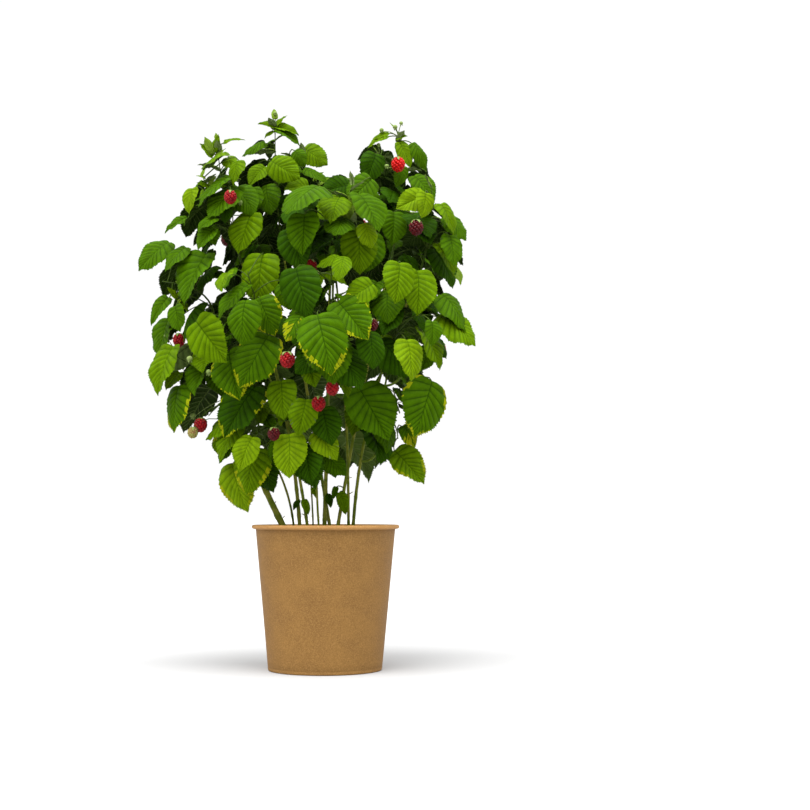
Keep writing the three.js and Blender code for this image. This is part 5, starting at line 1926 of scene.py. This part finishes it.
    def press(self, batch: MeshBatch, leaf: Leaflet, draws: Draws) -> Array:
        """Adds one leaflet to a mesh.

        Args:
            batch: the mesh.
            leaf: the leaflet.
            draws: seeded numbers for its own bends.

        Returns:
            The points of its midrib, on the upper side.
        """
        droop = LEAF.droop_share * (1 + draws.spread(0.8))
        twist, sway = draws.spread(0.5), draws.spread(0.09) * leaf.length
        high = self._height(draws) - droop * self.x**2
        angle = twist * self.x
        side = self.y * (leaf.width / 2) + sway * self.x**2
        lift = high * leaf.length
        across = side * np.cos(angle) - lift * np.sin(angle) * 0.3
        raised = lift + side * np.sin(angle)
        upper = self._place(leaf, self.x, across, raised)
        lower = self._place(leaf, self.x, across, raised - self.THICKNESS)[:, 1:-1]
        tip = self._place(leaf, np.ones(1), np.full(1, sway), np.full(1, -droop * leaf.length))
        points = np.concatenate((leaf.base[None], tip, upper.reshape(-1, 3), lower.reshape(-1, 3)))
        top, under = leaf.tint.value * 2, leaf.tint.value * 2 + 1
        quad_slots, tri_slots = np.full(len(self.quads), under), np.full(len(self.tris), under)
        upper_slots = np.full(self.upper_quads, top)
        if leaf.yellowed:
            upper_slots = self._yellow_slots(upper_slots, draws)
        quad_slots[: self.upper_quads] = upper_slots
        tri_slots[: self.upper_tris] = top
        batch.add((points, self.quads, self.tris), quad_slots, tri_slots)
        batch.maps.append(self.places)
        return upper[:, len(self.across) // 2]

    @staticmethod
    def _place(leaf: Leaflet, along: Array, across: Array, height: Array) -> Array:
        """Points of a leaflet, which hangs towards its tip.

        Args:
            leaf: the leaflet.
            along: shares of its length.
            across: distances from its midrib.
            height: heights over its plane.

        Returns:
            The points.
        """
        flat = along[..., None] * leaf.length * leaf.tip + across[..., None] * leaf.side
        sag = (UP - leaf.tip * float(leaf.tip @ UP)) * leaf.length * leaf.hang
        return leaf.base + flat + height[..., None] * leaf.face - (along**2)[..., None] * sag


class Region(Enum):
    """The parts of the crown that are each joined into one piece of leaves and one of twigs."""

    TOP_LEFT = ("left_peak", "left_shoulder", "heart")
    TOP_RIGHT = ("right_peak", "right_shoulder", "high_front")
    TOP_BACK = ("high_back", "high_back_left", "high_back_right")
    FRONT = ("front_left", "front_middle", "front_right", "foot_front", "foot_left", "foot_right")
    SIDES = ("left", "low_left", "right")
    BACK = ("back_right", "back_middle", "back_left", "foot_back")


@dataclass
class Foliage:
    """Dresses the crown: leaves and twigs by region."""

    crown: Crown
    big_leaf: float = 46.0
    twig_sides: int = 5
    rib_reach: float = 0.86
    rib_radii: Pair = (0.55, 0.12)
    rib_below: float = 0.25
    sharp: float = math.radians(75)

    def __post_init__(self) -> None:
        """Sets up a fine press for big leaflets and a plain one for small ones."""
        self.fine = LeafPress(11, 55, (0.0, 0.08, 0.44, 0.82, 0.94, 1.0))
        self.plain = LeafPress(9, 30, (0.0, 0.12, 0.62, 1.0))

    def dress(self, greens: Sequence[Material], twig: Material) -> list[Piece]:
        """Builds the leaves and twigs of every region.

        Args:
            greens: the materials of the leaf slots.
            twig: the material of stems and stalks.

        Returns:
            The pieces.
        """
        pieces = []
        for region in Region:
            leaves = MeshBatch(f"leaves_{region.name.lower()}")
            twigs = MeshBatch(f"twigs_{region.name.lower()}")
            for growth in self.crown.growths:
                if growth.name in region.value:
                    self._add_growth(growth, leaves, twigs)
            piece = leaves.build(greens, "foliage", tiles=4)
            piece.data.set_sharp_from_angle(angle=self.sharp)
            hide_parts(*(f"foliage_{part}" for part in region.value))
            pieces += [piece, twigs.build([twig], "foliage")]
        return pieces

    def _add_growth(self, growth: Growth, leaves: MeshBatch, twigs: MeshBatch) -> None:
        """Adds the leaves and twigs of one mass.

        Args:
            growth: the mass.
            leaves: the mesh of leaves.
            twigs: the mesh of twigs.
        """
        draws = Draws(growth.index * 31 + 7)
        for leaf in growth.blades():
            press = self.fine if leaf.length > self.big_leaf else self.plain
            middle = press.press(leaves, leaf, draws)
            below = leaf.face * (LeafPress.THICKNESS + self.rib_below)
            rib = middle[: int(len(middle) * self.rib_reach) : 4] - below
            points = np.concatenate((leaf.base[None], rib))
            twigs.add(tube(points, np.linspace(*self.rib_radii, len(points)), 4))
        for stalk in growth.twigs:
            steps = max(4, int(stalk.curve.length / 8))
            twigs.add(tube(stalk.curve.spaced(steps), np.linspace(*stalk.radii, steps + 1), self.twig_sides))
        for berry in growth.berries:
            twigs.add(tube(berry.stalk.spaced(8), np.linspace(0.7, 0.5, 9), self.twig_sides))


# ---- berries and buds


@dataclass
class Fruit:
    """Berries of many drupelets with their sepals, and buds."""

    crown: Crown
    drupelets: int = 60
    size_share: float = 0.225
    core: Triple = (0.72, 0.72, 0.74)
    shell: Pair = (0.77, 0.8)
    rows: Pair = (0.9, 1.88)  # rise of the first drupelet, and how far the rows go down from it
    sepals: int = 5
    sepal_at: float = 0.98
    sepal_reach: float = 0.95
    sepal_width: float = 0.26
    sepal_steps: int = 5
    sepal_thickness: float = 0.35
    bud_behind: float = 8
    bud_foremost: float = -60.0
    bud_sepals: Triple = (0.4, 1.5, 0.55)  # where they start, their length and their spread

    def dress(self, flesh: Sequence[Material], sepal: Material) -> list[Piece]:
        """Builds the berries, and the sepals and buds.

        Args:
            flesh: the materials of the ripenesses.
            sepal: the material of sepals and buds.

        Returns:
            The pieces.
        """
        berries, sepals = MeshBatch("berries"), MeshBatch("sepals_and_buds")
        ball = small_ball()
        draws = Draws(977)
        for growth in self.crown.growths:
            for berry in growth.berries:
                self._add_berry(berry, ball, berries, draws)
                top = berry.place + UP * berry.radius * self.sepal_at
                self._add_sepals(top, berry.radius * self.sepal_reach, 1.0, sepals, draws)
        for x, z, radius in FRONT_BUDS:
            self._add_bud(x, z, radius, sepals, draws)
        return [berries.build(flesh, "foliage"), sepals.build([sepal], "foliage")]

    def _add_berry(self, berry: Berry, ball: Shape, batch: MeshBatch, draws: Draws) -> None:
        """Adds one berry: drupelets all round a core that is narrower towards its lower end.

        Args:
            berry: the berry.
            ball: the shape of a drupelet.
            batch: the mesh.
            draws: seeded numbers for its turn and sizes.
        """
        points, _, faces = ball
        stretch = vec((1, 1, STEM.berry_stretch))
        slot = berry.ripeness.value
        batch.add((points * self.core * stretch * berry.radius + berry.place, NO_QUADS, faces), 0, slot)
        turn = draws.next() * 6
        for k in range(self.drupelets):
            rise = self.rows[0] - self.rows[1] * (k + 0.5) / self.drupelets
            ring = self.shell[0] * math.sqrt(1 - rise * rise) * (1 + 0.1 * min(rise, 0.0))
            angle = turn + k * GOLDEN_ANGLE
            out = level(angle, ring, rise * self.shell[1]) * stretch
            grain = berry.radius * self.size_share * (1 + draws.spread(0.1))
            batch.add((points * grain + berry.place + out * berry.radius, NO_QUADS, faces), 0, slot)

    def _add_sepals(self, top: Array, reach: float, spread: float, batch: MeshBatch, draws: Draws) -> None:
        """Adds pointed sepals that spread from the top of a berry or close over a bud.

        Args:
            top: where they start.
            reach: their length.
            spread: how far they spread.
            batch: the mesh.
            draws: seeded numbers for their turn and bends.
        """
        turn = draws.next() * math.pi
        n = self.sepal_steps
        shares = np.linspace(0, 1, n)
        width = reach * self.sepal_width * np.sin(math.pi * np.clip(shares * 0.72 + 0.22, 0, 1))
        step = np.arange(n - 1)[:, None]
        sides = [step + (0, n, n + 1, 1), step + (2 * n, 2 * n + 1, 3 * n + 1, 3 * n)]
        sides += [step + (0, 1, 2 * n + 1, 2 * n), step + (n, 3 * n, 3 * n + 1, n + 1)]
        ends = [[(0, 2 * n, 3 * n, n)], [(n - 1, 2 * n - 1, 4 * n - 1, 3 * n - 1)]]
        quads = np.concatenate((np.stack(sides, axis=1).reshape(-1, 4), *ends))
        for angle in turn + turns(self.sepals):
            out = level(angle)
            bend = spread * (0.9 + draws.spread(0.25))
            axis = top + np.outer(shares * reach, out) * bend + np.outer(shares * (0.5 - shares) * reach, UP)
            half = np.outer(width, np.cross(UP, out))
            upper = np.concatenate((axis + half, axis - half))
            batch.add((np.concatenate((upper, upper - UP * self.sepal_thickness)), quads, NO_TRIS))

    def _add_bud(self, x: float, z: float, radius: float, batch: MeshBatch, draws: Draws) -> None:
        """Adds a bud on a short stalk from the nearest shoot.

        Args:
            x: where it shows from the front.
            z: the height at which it shows.
            radius: its radius.
            batch: the mesh.
            draws: seeded numbers for its sepals.
        """
        front = self.crown.spaces.front(x, z) + self.bud_behind
        growth = self.crown.growth_at(seen_at(x, z, front))
        tips = np.concatenate([other.all_anchors for other in self.crown.growths])
        place = seen_at(x, z, min(max(front, self.bud_foremost), growth.centre[1]))
        root = tips[np.linalg.norm((tips - place) * (1, 0.8, 1), axis=1).argmin()]
        stalk = Bend(root, (root + place) / 2 + UP * 6, place)
        batch.add(tube(stalk.spaced(8), np.linspace(0.65, 0.45, 9), 5))
        shares = np.linspace(0, math.pi, 8)
        axis = place + np.outer(1 - np.cos(shares), UP) * radius * 0.75
        body = np.clip(np.sin(shares), 0.08, None) * radius * (1 - 0.25 * shares / math.pi)
        batch.add(tube(axis, body, 10))
        start, reach, spread = self.bud_sepals
        self._add_sepals(place + UP * radius * start, radius * reach, spread, batch, draws)


# ---- canes and boughs


@dataclass
class Wood:
    """Canes and boughs with the bark's relief, nodes and prickles."""

    limbs: Limbs
    sides: int = 14
    step: float = 3.0
    node_gap: float = 34.0
    node_half: float = 2.6
    node_swell: float = 0.16
    cane_sunk: float = 2.5
    bough_sunk: float = 1.2
    prickle_gap: float = 7.0
    stubs: float = 0.09

    def dress(self, bark: Material, green: Material) -> list[Piece]:
        """Builds one piece for each cane, one for all boughs and one for the prickles.

        Args:
            bark: the material of the canes.
            green: the material of the boughs.

        Returns:
            The pieces.
        """
        pieces = []
        boughs, prickles = MeshBatch("boughs"), MeshBatch("prickles")
        for number, (name, limb) in enumerate(self.limbs.limbs.items()):
            draws = Draws(101 * number + 5)
            if name in CANES:
                batch = MeshBatch(f"bark_{name}")
                self._add_limb(limb, batch, draws, self.cane_sunk)
                self._add_prickles(limb, prickles, draws)
                piece = batch.build([bark], "cane_bark")
                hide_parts(name)
                pieces.append(piece)
            else:
                self._add_limb(limb, boughs, draws, self.bough_sunk)
        joined = boughs.build([green], "green_bark")
        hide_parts(*BOUGHS)
        return [*pieces, joined, prickles.build([bark], "cane_bark")]

    def _add_limb(self, limb: Limb, batch: MeshBatch, draws: Draws, sunk: float) -> None:
        """Adds one limb: a tapering tube with swollen nodes, ridges and small unevenness.

        Args:
            limb: the cane or bough.
            batch: the mesh.
            draws: seeded numbers for its nodes and relief.
            sunk: how deep its foot is sunk in what carries it.
        """
        shares = np.linspace(0, 1, max(8, int(limb.curve.length / self.step)) + 1)
        points = limb.curve.points(shares)
        points = np.concatenate(([points[0] - limb.curve.tangent(0) * sunk], points))
        shares = np.concatenate(([0.0], shares))
        along = shares * limb.curve.length
        phase = draws.next() * self.node_gap
        off_node = np.abs((along + phase + self.node_gap / 2) % self.node_gap - self.node_gap / 2)
        radii = limb.radii[0] + (limb.radii[1] - limb.radii[0]) * shares
        swollen = radii * (1 + self.node_swell * np.exp(-((off_node / self.node_half) ** 2)))
        angles = turns(self.sides)
        ridges = 0.035 * np.cos(angles * 5 + draws.next() * 6)[None] * np.ones((len(shares), 1))
        rough = 0.03 * np.sin(angles[None] * 3 + along[:, None] * 0.31 + draws.next() * 6)
        rough = rough + 0.025 * np.sin(angles[None] * 7 + along[:, None] * 0.83)
        batch.add(tube(points, swollen[:, None] * (1 + ridges + rough), self.sides))

    def _add_prickles(self, limb: Limb, batch: MeshBatch, draws: Draws) -> None:
        """Adds small prickles and a few stubs of cut stalks along a cane.

        Args:
            limb: the cane.
            batch: the mesh.
            draws: seeded numbers for their places and sizes.
        """
        count = int(limb.curve.length / self.prickle_gap)
        for i in range(count):
            share = (i + draws.next()) / count
            tangent = limb.curve.tangent(share)
            around = unit(np.cross(tangent, level(i * GOLDEN_ANGLE, rise=0.1)))
            radius = mix(limb.radii, share)
            is_stub = draws.next() < self.stubs
            long, thick = (3.0 + draws.next() * 3, 0.7) if is_stub else (1.1 + draws.next() * 0.5, 0.3)
            start = limb.curve.point(share) + around * (radius * 0.7)
            end = start + around * (long + radius * 0.3) + tangent * long * (0.5 if is_stub else -0.3)
            radii = np.array([thick, thick * 0.8, thick * 0.6 if is_stub else 0.05])
            batch.add(tube(np.array([start, (start + end) / 2, end]), radii, 6))


# ---- pot and soil


@dataclass
class PaperPot:
    """A tapering paper cup with a rolled rim, an overlapped side seam and a flat underside."""

    height: float = 186.0
    base_radius: float = 73.5
    top_radius: float = 90.5
    wall: float = 2.2
    floor: float = 3.0
    rim_radius: float = 2.6
    around: int = 192
    seam_turn: float = math.radians(112)
    seam_width: float = 0.14
    seam_rise: float = 0.45
    dents: float = 0.12
    wall_rows: int = 36
    sharp: float = math.radians(50)

    @property
    def under_rim(self) -> float:
        """The height at which the rolled rim starts."""
        return self.height - 2 * self.rim_radius

    def outer_radius(self, height: float) -> float:
        """The radius of the outer wall at a height."""
        return mix((self.base_radius, self.top_radius), height / self.under_rim)

    def inner_radius(self, height: float) -> float:
        """The radius of the inner wall at a height."""
        return self.outer_radius(height) - self.wall

    def _section(self) -> Array:
        """The pot's section, from the middle of the underside out, up and in again.

        Returns:
            Radius and height of each of its points.
        """
        rows = [(0.01, 0.0), (30, 0.0), (self.base_radius - 3.2, 0.0), (self.base_radius - 1.6, 0.15)]
        rows += [(self.base_radius - 0.5, 0.0), (self.base_radius - 0.05, 0.35)]
        fold = ((1.0, -0.1), (3.4, 0.0), (4.0, -0.2), (4.6, 0.0))
        rows += [(self.outer_radius(height) + out, height) for height, out in fold]
        rows += [(self.outer_radius(height), height) for height in np.linspace(12, self.under_rim - 1.5, 24)]
        rows += [(self.top_radius - 0.1, self.under_rim - 0.6)]
        for angle in np.linspace(-math.pi / 2 + 0.15, math.pi * 0.94, 18):
            out = self.top_radius + self.rim_radius * (1 + math.cos(angle)) - 0.05
            rows.append((out, self.height + self.rim_radius * (math.sin(angle) - 1)))
        inside = np.linspace(self.under_rim - 2, self.floor + 1, 14)
        rows += [(self.inner_radius(height) + 0.02, height) for height in inside]
        rows += [(self.inner_radius(self.floor) - 1, self.floor), (0.01, self.floor)]
        return np.array(rows)

    def dress(self, paper: Material, rim: Material) -> Piece:
        """Builds the pot.

        Args:
            paper: the kraft paper of the wall.
            rim: the paper of the rolled rim, lighter than the wall's as painted light.

        Returns:
            The piece.
        """
        section, angles = self._section(), turns(self.around)
        radius, height = section[:, :1], section[:, 1:]
        off_seam = np.abs((angles - self.seam_turn + math.pi) % (2 * math.pi) - math.pi)
        seam = self.seam_rise / (1 + np.exp((off_seam - self.seam_width) / 0.012))
        dents = self.dents * (np.sin(angles * 3 + 1) * np.sin(height / 37.0) - 1)
        dents = dents + 0.07 * np.sin(angles * 8 + height / 60)
        is_wall = (height > 1) & (radius > self.base_radius * 0.98) & (height < self.under_rim)
        is_wall &= (np.arange(len(section)) < self.wall_rows)[:, None]
        radii = radius + is_wall * (seam + dents)
        rings = np.stack((np.cos(angles) * radii, np.sin(angles) * radii, height + 0 * radii), -1)
        # the faces of the rolled rim, which get the lighter paper of painted light
        is_rim = (section[:-1, 0] > self.top_radius - 0.2) & (section[:-1, 1] > self.under_rim - 0.7)
        batch = MeshBatch("paper_pot")
        batch.add(capped(rings, (0, 0, 0), (0, 0, self.floor)), np.repeat(is_rim * 1, self.around))
        piece = batch.build([paper, rim], "kraft_paper")
        piece.data.set_sharp_from_angle(angle=self.sharp)
        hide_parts("pot")
        return piece


@dataclass
class PottingSoil:
    """The soil's uneven surface with crumbs on it."""

    pot: PaperPot
    surface: float = 174.0
    crown: float = 3.0
    level: float = 0.6
    wall_gap: float = 0.42
    sunk: float = 0.8
    bump: float = 0.45
    edge_sunk: float = 0.6
    crumbs: int = 420
    crumb_sunk: float = 0.9
    crumb_sizes: Pair = (0.7, 1.6)
    rings: int = 34
    around: int = 120

    @property
    def reach(self) -> float:
        """The radius of the surface."""
        return self.pot.inner_radius(self.surface - self.crown) - self.wall_gap

    def _fall(self, out: Array | float) -> Array | float:
        """How far the surface has fallen at a distance from the middle."""
        return self.crown * np.clip((out / self.reach - self.level) / (1 - self.level), 0, 1) ** 1.5

    def dress(self, soil: Material) -> Piece:
        """Builds the soil.

        Args:
            soil: the potting mix.

        Returns:
            The piece.
        """
        low = self.pot.floor + GAP
        angles = turns(self.around)
        radii = np.linspace(0.01, self.reach, self.rings)
        x, y = np.outer(radii, np.cos(angles)), np.outer(radii, np.sin(angles))
        bumps = np.sin(x * 0.31 + 1) * np.sin(y * 0.27) + 0.6 * np.sin(x * 0.83 - y * 0.6)
        bumps = bumps + 0.4 * np.sin(y * 1.7 + x)
        z = self.surface - self._fall(radii)[:, None] - self.sunk + self.bump * bumps
        z[-1] = self.surface - self.crown - self.edge_sunk
        foot = self.pot.inner_radius(low) - self.wall_gap
        under = np.stack((np.cos(angles) * foot, np.sin(angles) * foot, np.full(self.around, low)), -1)
        rings = np.concatenate((under[None], np.stack((x, y, z), -1)[::-1]))
        batch = MeshBatch("potting_soil")
        batch.add(capped(rings, (0, 0, low), (0, 0, self.surface - self.sunk)))
        self._add_crumbs(batch)
        piece = batch.build([soil], "soil")
        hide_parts("soil")
        return piece

    def _add_crumbs(self, batch: MeshBatch) -> None:
        """Adds uneven crumbs half sunk in the surface.

        Args:
            batch: the mesh.
        """
        points, _, faces = small_ball()
        draws = Draws(555)
        for _ in range(self.crumbs):
            out = math.sqrt(draws.next()) * (self.reach - 4)
            angle = draws.next() * 2 * math.pi
            size = self.crumb_sizes[0] + self.crumb_sizes[1] * draws.next() ** 2
            shape = np.array([1 + draws.spread(0.4), 1 + draws.spread(0.4), 0.7 + draws.spread(0.2)]) * size
            uneven = 1 + 0.22 * np.sin(points[:, :1] * 5 + angle) * np.cos(points[:, 1:2] * 4 + out)
            place = level(angle, out, self.surface - self._fall(out) - self.crumb_sunk)
            batch.add((points * uneven * shape + place, NO_QUADS, faces))


# ---- studio


@dataclass
class Studio:
    """A plain pale floor, soft light from above and from both sides, and the camera."""

    camera_distance: float = 1.9
    eye_height: float = 0.205
    sensor: float = 36.0
    focal_share: float = 1455 / 810
    turn_right: float = math.atan(79 / 1455)
    tilt_up: float = math.atan(105 / 1455)
    world_strength: float = 1.02
    floor_half: float = 40.0
    floor_level: float = -0.0004
    floor_grey: float = 0.4
    suns: tuple = (
        ("light_left", (-0.55, -0.58, 1.15), 3.1, math.radians(55)),
        ("light_right", (0.52, -0.38, 1.2), 2.3, math.radians(55)),
        ("light_above", (-0.06, -0.22, 1.0), 2.5, math.radians(30)),
    )

    def set_up(self) -> None:
        """Builds the floor, the lights, the world and the camera."""
        self._floor()
        self._world()
        for name, towards, strength, softness in self.suns:
            light = bpy.data.lights.new(name, "SUN")
            light.energy, light.angle = strength, softness
            lamp = self._stand(name, light)
            lamp.location = towards
            lamp.rotation_euler = Vector(towards).to_track_quat("Z", "Y").to_euler()
        self._camera()
        bpy.context.scene.view_settings.view_transform = "Standard"

    @staticmethod
    def _stand(name: str, data: bpy.types.ID) -> Piece:
        """Puts a mesh, a light or a camera in the scene.

        Args:
            name: the object's name.
            data: what it holds.

        Returns:
            The object.
        """
        thing = bpy.data.objects.new(name, data)
        bpy.context.scene.collection.objects.link(thing)
        return thing

    def _floor(self) -> None:
        """A wide floor just under the pot."""
        mesh = bpy.data.meshes.new("studio_floor")
        half = self.floor_half
        corners = [(x * half, y * half, self.floor_level) for x, y in ((-1, -1), (1, -1), (1, 1), (-1, 1))]
        mesh.from_pydata(corners, [], [(0, 1, 2, 3)])
        material, board, shader = new_material("studio_white")
        grey = (self.floor_grey, self.floor_grey, self.floor_grey, 1)
        board.feed(shader, {"Base Color": grey, "Roughness": 0.9, "Specular IOR Level": 0.1})
        mesh.materials.append(material)
        self._stand("studio_floor", mesh)

    def _world(self) -> None:
        """White light from all round."""
        world = bpy.data.worlds.new("studio_world")
        world.use_nodes = True
        bpy.context.scene.world = world
        background = next(node for node in world.node_tree.nodes if node.type == "BACKGROUND")
        NodeBoard(world.node_tree).feed(background, {"Color": (1, 1, 1, 1), "Strength": self.world_strength})

    def _camera(self) -> None:
        """The camera in front, turned so that the bush stands left of the middle."""
        data = bpy.data.cameras.new("front_camera")
        data.sensor_width = self.sensor
        data.lens = self.sensor * self.focal_share
        camera = self._stand("front_camera", data)
        camera.location = (0, -self.camera_distance, self.eye_height)
        camera.rotation_euler = (math.pi / 2 + self.tilt_up, 0, -self.turn_right)
        bpy.context.scene.camera = camera


# ---- finishes of this bush


def leaf_finishes() -> list[LeafFinish]:
    """The finishes of the leaf slots.

    Returns:
        Each green's upper side and underside, then the yellowed margin.
    """
    # Each green: its upper side, its upper side's veins in a dark colour that is painted shade in the sunk
    # grooves, and its underside.
    greens = {
        # The undersides of the dark and mid greens are darker than a leaf's own pale underside: painted shade
        # of the crown's inside, where these greens hang.
        Tint.DARK: (srgb(39, 69, 0), srgb(15, 38, 0), srgb(29, 46, 8)),
        Tint.MID: (srgb(58, 90, 0), srgb(26, 52, 0), srgb(40, 60, 13)),
        Tint.FRESH: (srgb(80, 109, 0), srgb(42, 71, 0), srgb(71, 92, 35)),
        Tint.LIGHT: (srgb(97, 124, 4), srgb(61, 92, 0), srgb(103, 123, 62)),
        Tint.YOUNG: (srgb(96, 123, 29), srgb(119, 141, 53), srgb(110, 128, 74)),
    }
    finishes = []
    for tint, (colour, vein, under) in greens.items():
        label = tint.name.lower()
        finishes.append(LeafFinish(f"leaf_{label}_upper", colour, vein))
        finishes.append(LeafFinish(f"leaf_{label}_under", under, srgb(114, 132, 74), 0.45, 0.65, 0.3))
    return [*finishes, LeafFinish("leaf_margin_yellow", srgb(128, 135, 10), srgb(98, 113, 6), 0.3)]


def berry_finishes() -> list[BerryFinish]:
    """The finishes of the berry slots.

    Returns:
        One finish for each ripeness, in their order.
    """
    return [
        BerryFinish("berry_bright", srgb(192, 18, 12), srgb(166, 6, 6)),
        BerryFinish("berry_red", srgb(140, 8, 14), srgb(108, 4, 10)),
        BerryFinish("berry_dark", srgb(82, 6, 10), srgb(60, 4, 8)),
        BerryFinish("berry_unripe", srgb(141, 143, 74), srgb(134, 107, 64), 0.45),
    ]


# The rolled rim's paper is lighter than the wall's: painted light on the rim's top.
LIT_RIM_PAPER = KraftPaperFinish(
    "kraft_paper_rim_painted_light", srgb(166, 121, 66), srgb(158, 113, 58), srgb(186, 144, 88), srgb(130, 92, 46))
CANE_BARK = BarkFinish("cane_bark", srgb(88, 104, 22), srgb(122, 124, 46), srgb(46, 38, 16))
BOUGH_BARK = BarkFinish("bough_bark", srgb(74, 100, 20), srgb(90, 106, 30), srgb(58, 48, 22))
# The stalks' green, darkened as painted shade of the crown's inside, where most of them show.
STALK_GREEN = BarkFinish("stalk_green", srgb(56, 78, 18), srgb(66, 84, 26), srgb(62, 54, 24))
SEPAL_GREEN = BarkFinish("sepal_green", srgb(114, 136, 69), srgb(125, 141, 82), srgb(98, 116, 53), 120.0, 0.6)


def main() -> None:
    """Builds every sub-assembly in order and reports each piece."""
    logging.basicConfig(level=logging.INFO, format="%(name)s: %(message)s")
    Studio().set_up()
    grain, veins = GrainPattern().build(), VeinPattern().build()
    pot = PaperPot()
    soil = PottingSoil(pot)
    limbs = Limbs(soil.surface)
    pieces = [pot.dress(KraftPaperFinish().build(grain), LIT_RIM_PAPER.build(grain))]
    pieces.append(soil.dress(SoilFinish().build(grain)))
    pieces += Wood(limbs).dress(CANE_BARK.build(grain), BOUGH_BARK.build(grain))
    crown = Crown(limbs)
    greens = [finish.build(veins) for finish in leaf_finishes()]
    pieces += Foliage(crown).dress(greens, STALK_GREEN.build(grain))
    flesh = [finish.build() for finish in berry_finishes()]
    pieces += Fruit(crown).dress(flesh, SEPAL_GREEN.build(grain))
    LOG.info("leaflets: %d", sum(len(growth.blades()) for growth in crown.growths))
    for piece in pieces:
        LOG.info("%s: %d faces", piece.name, len(piece.data.polygons))


if __name__ == "__main__":
    main()
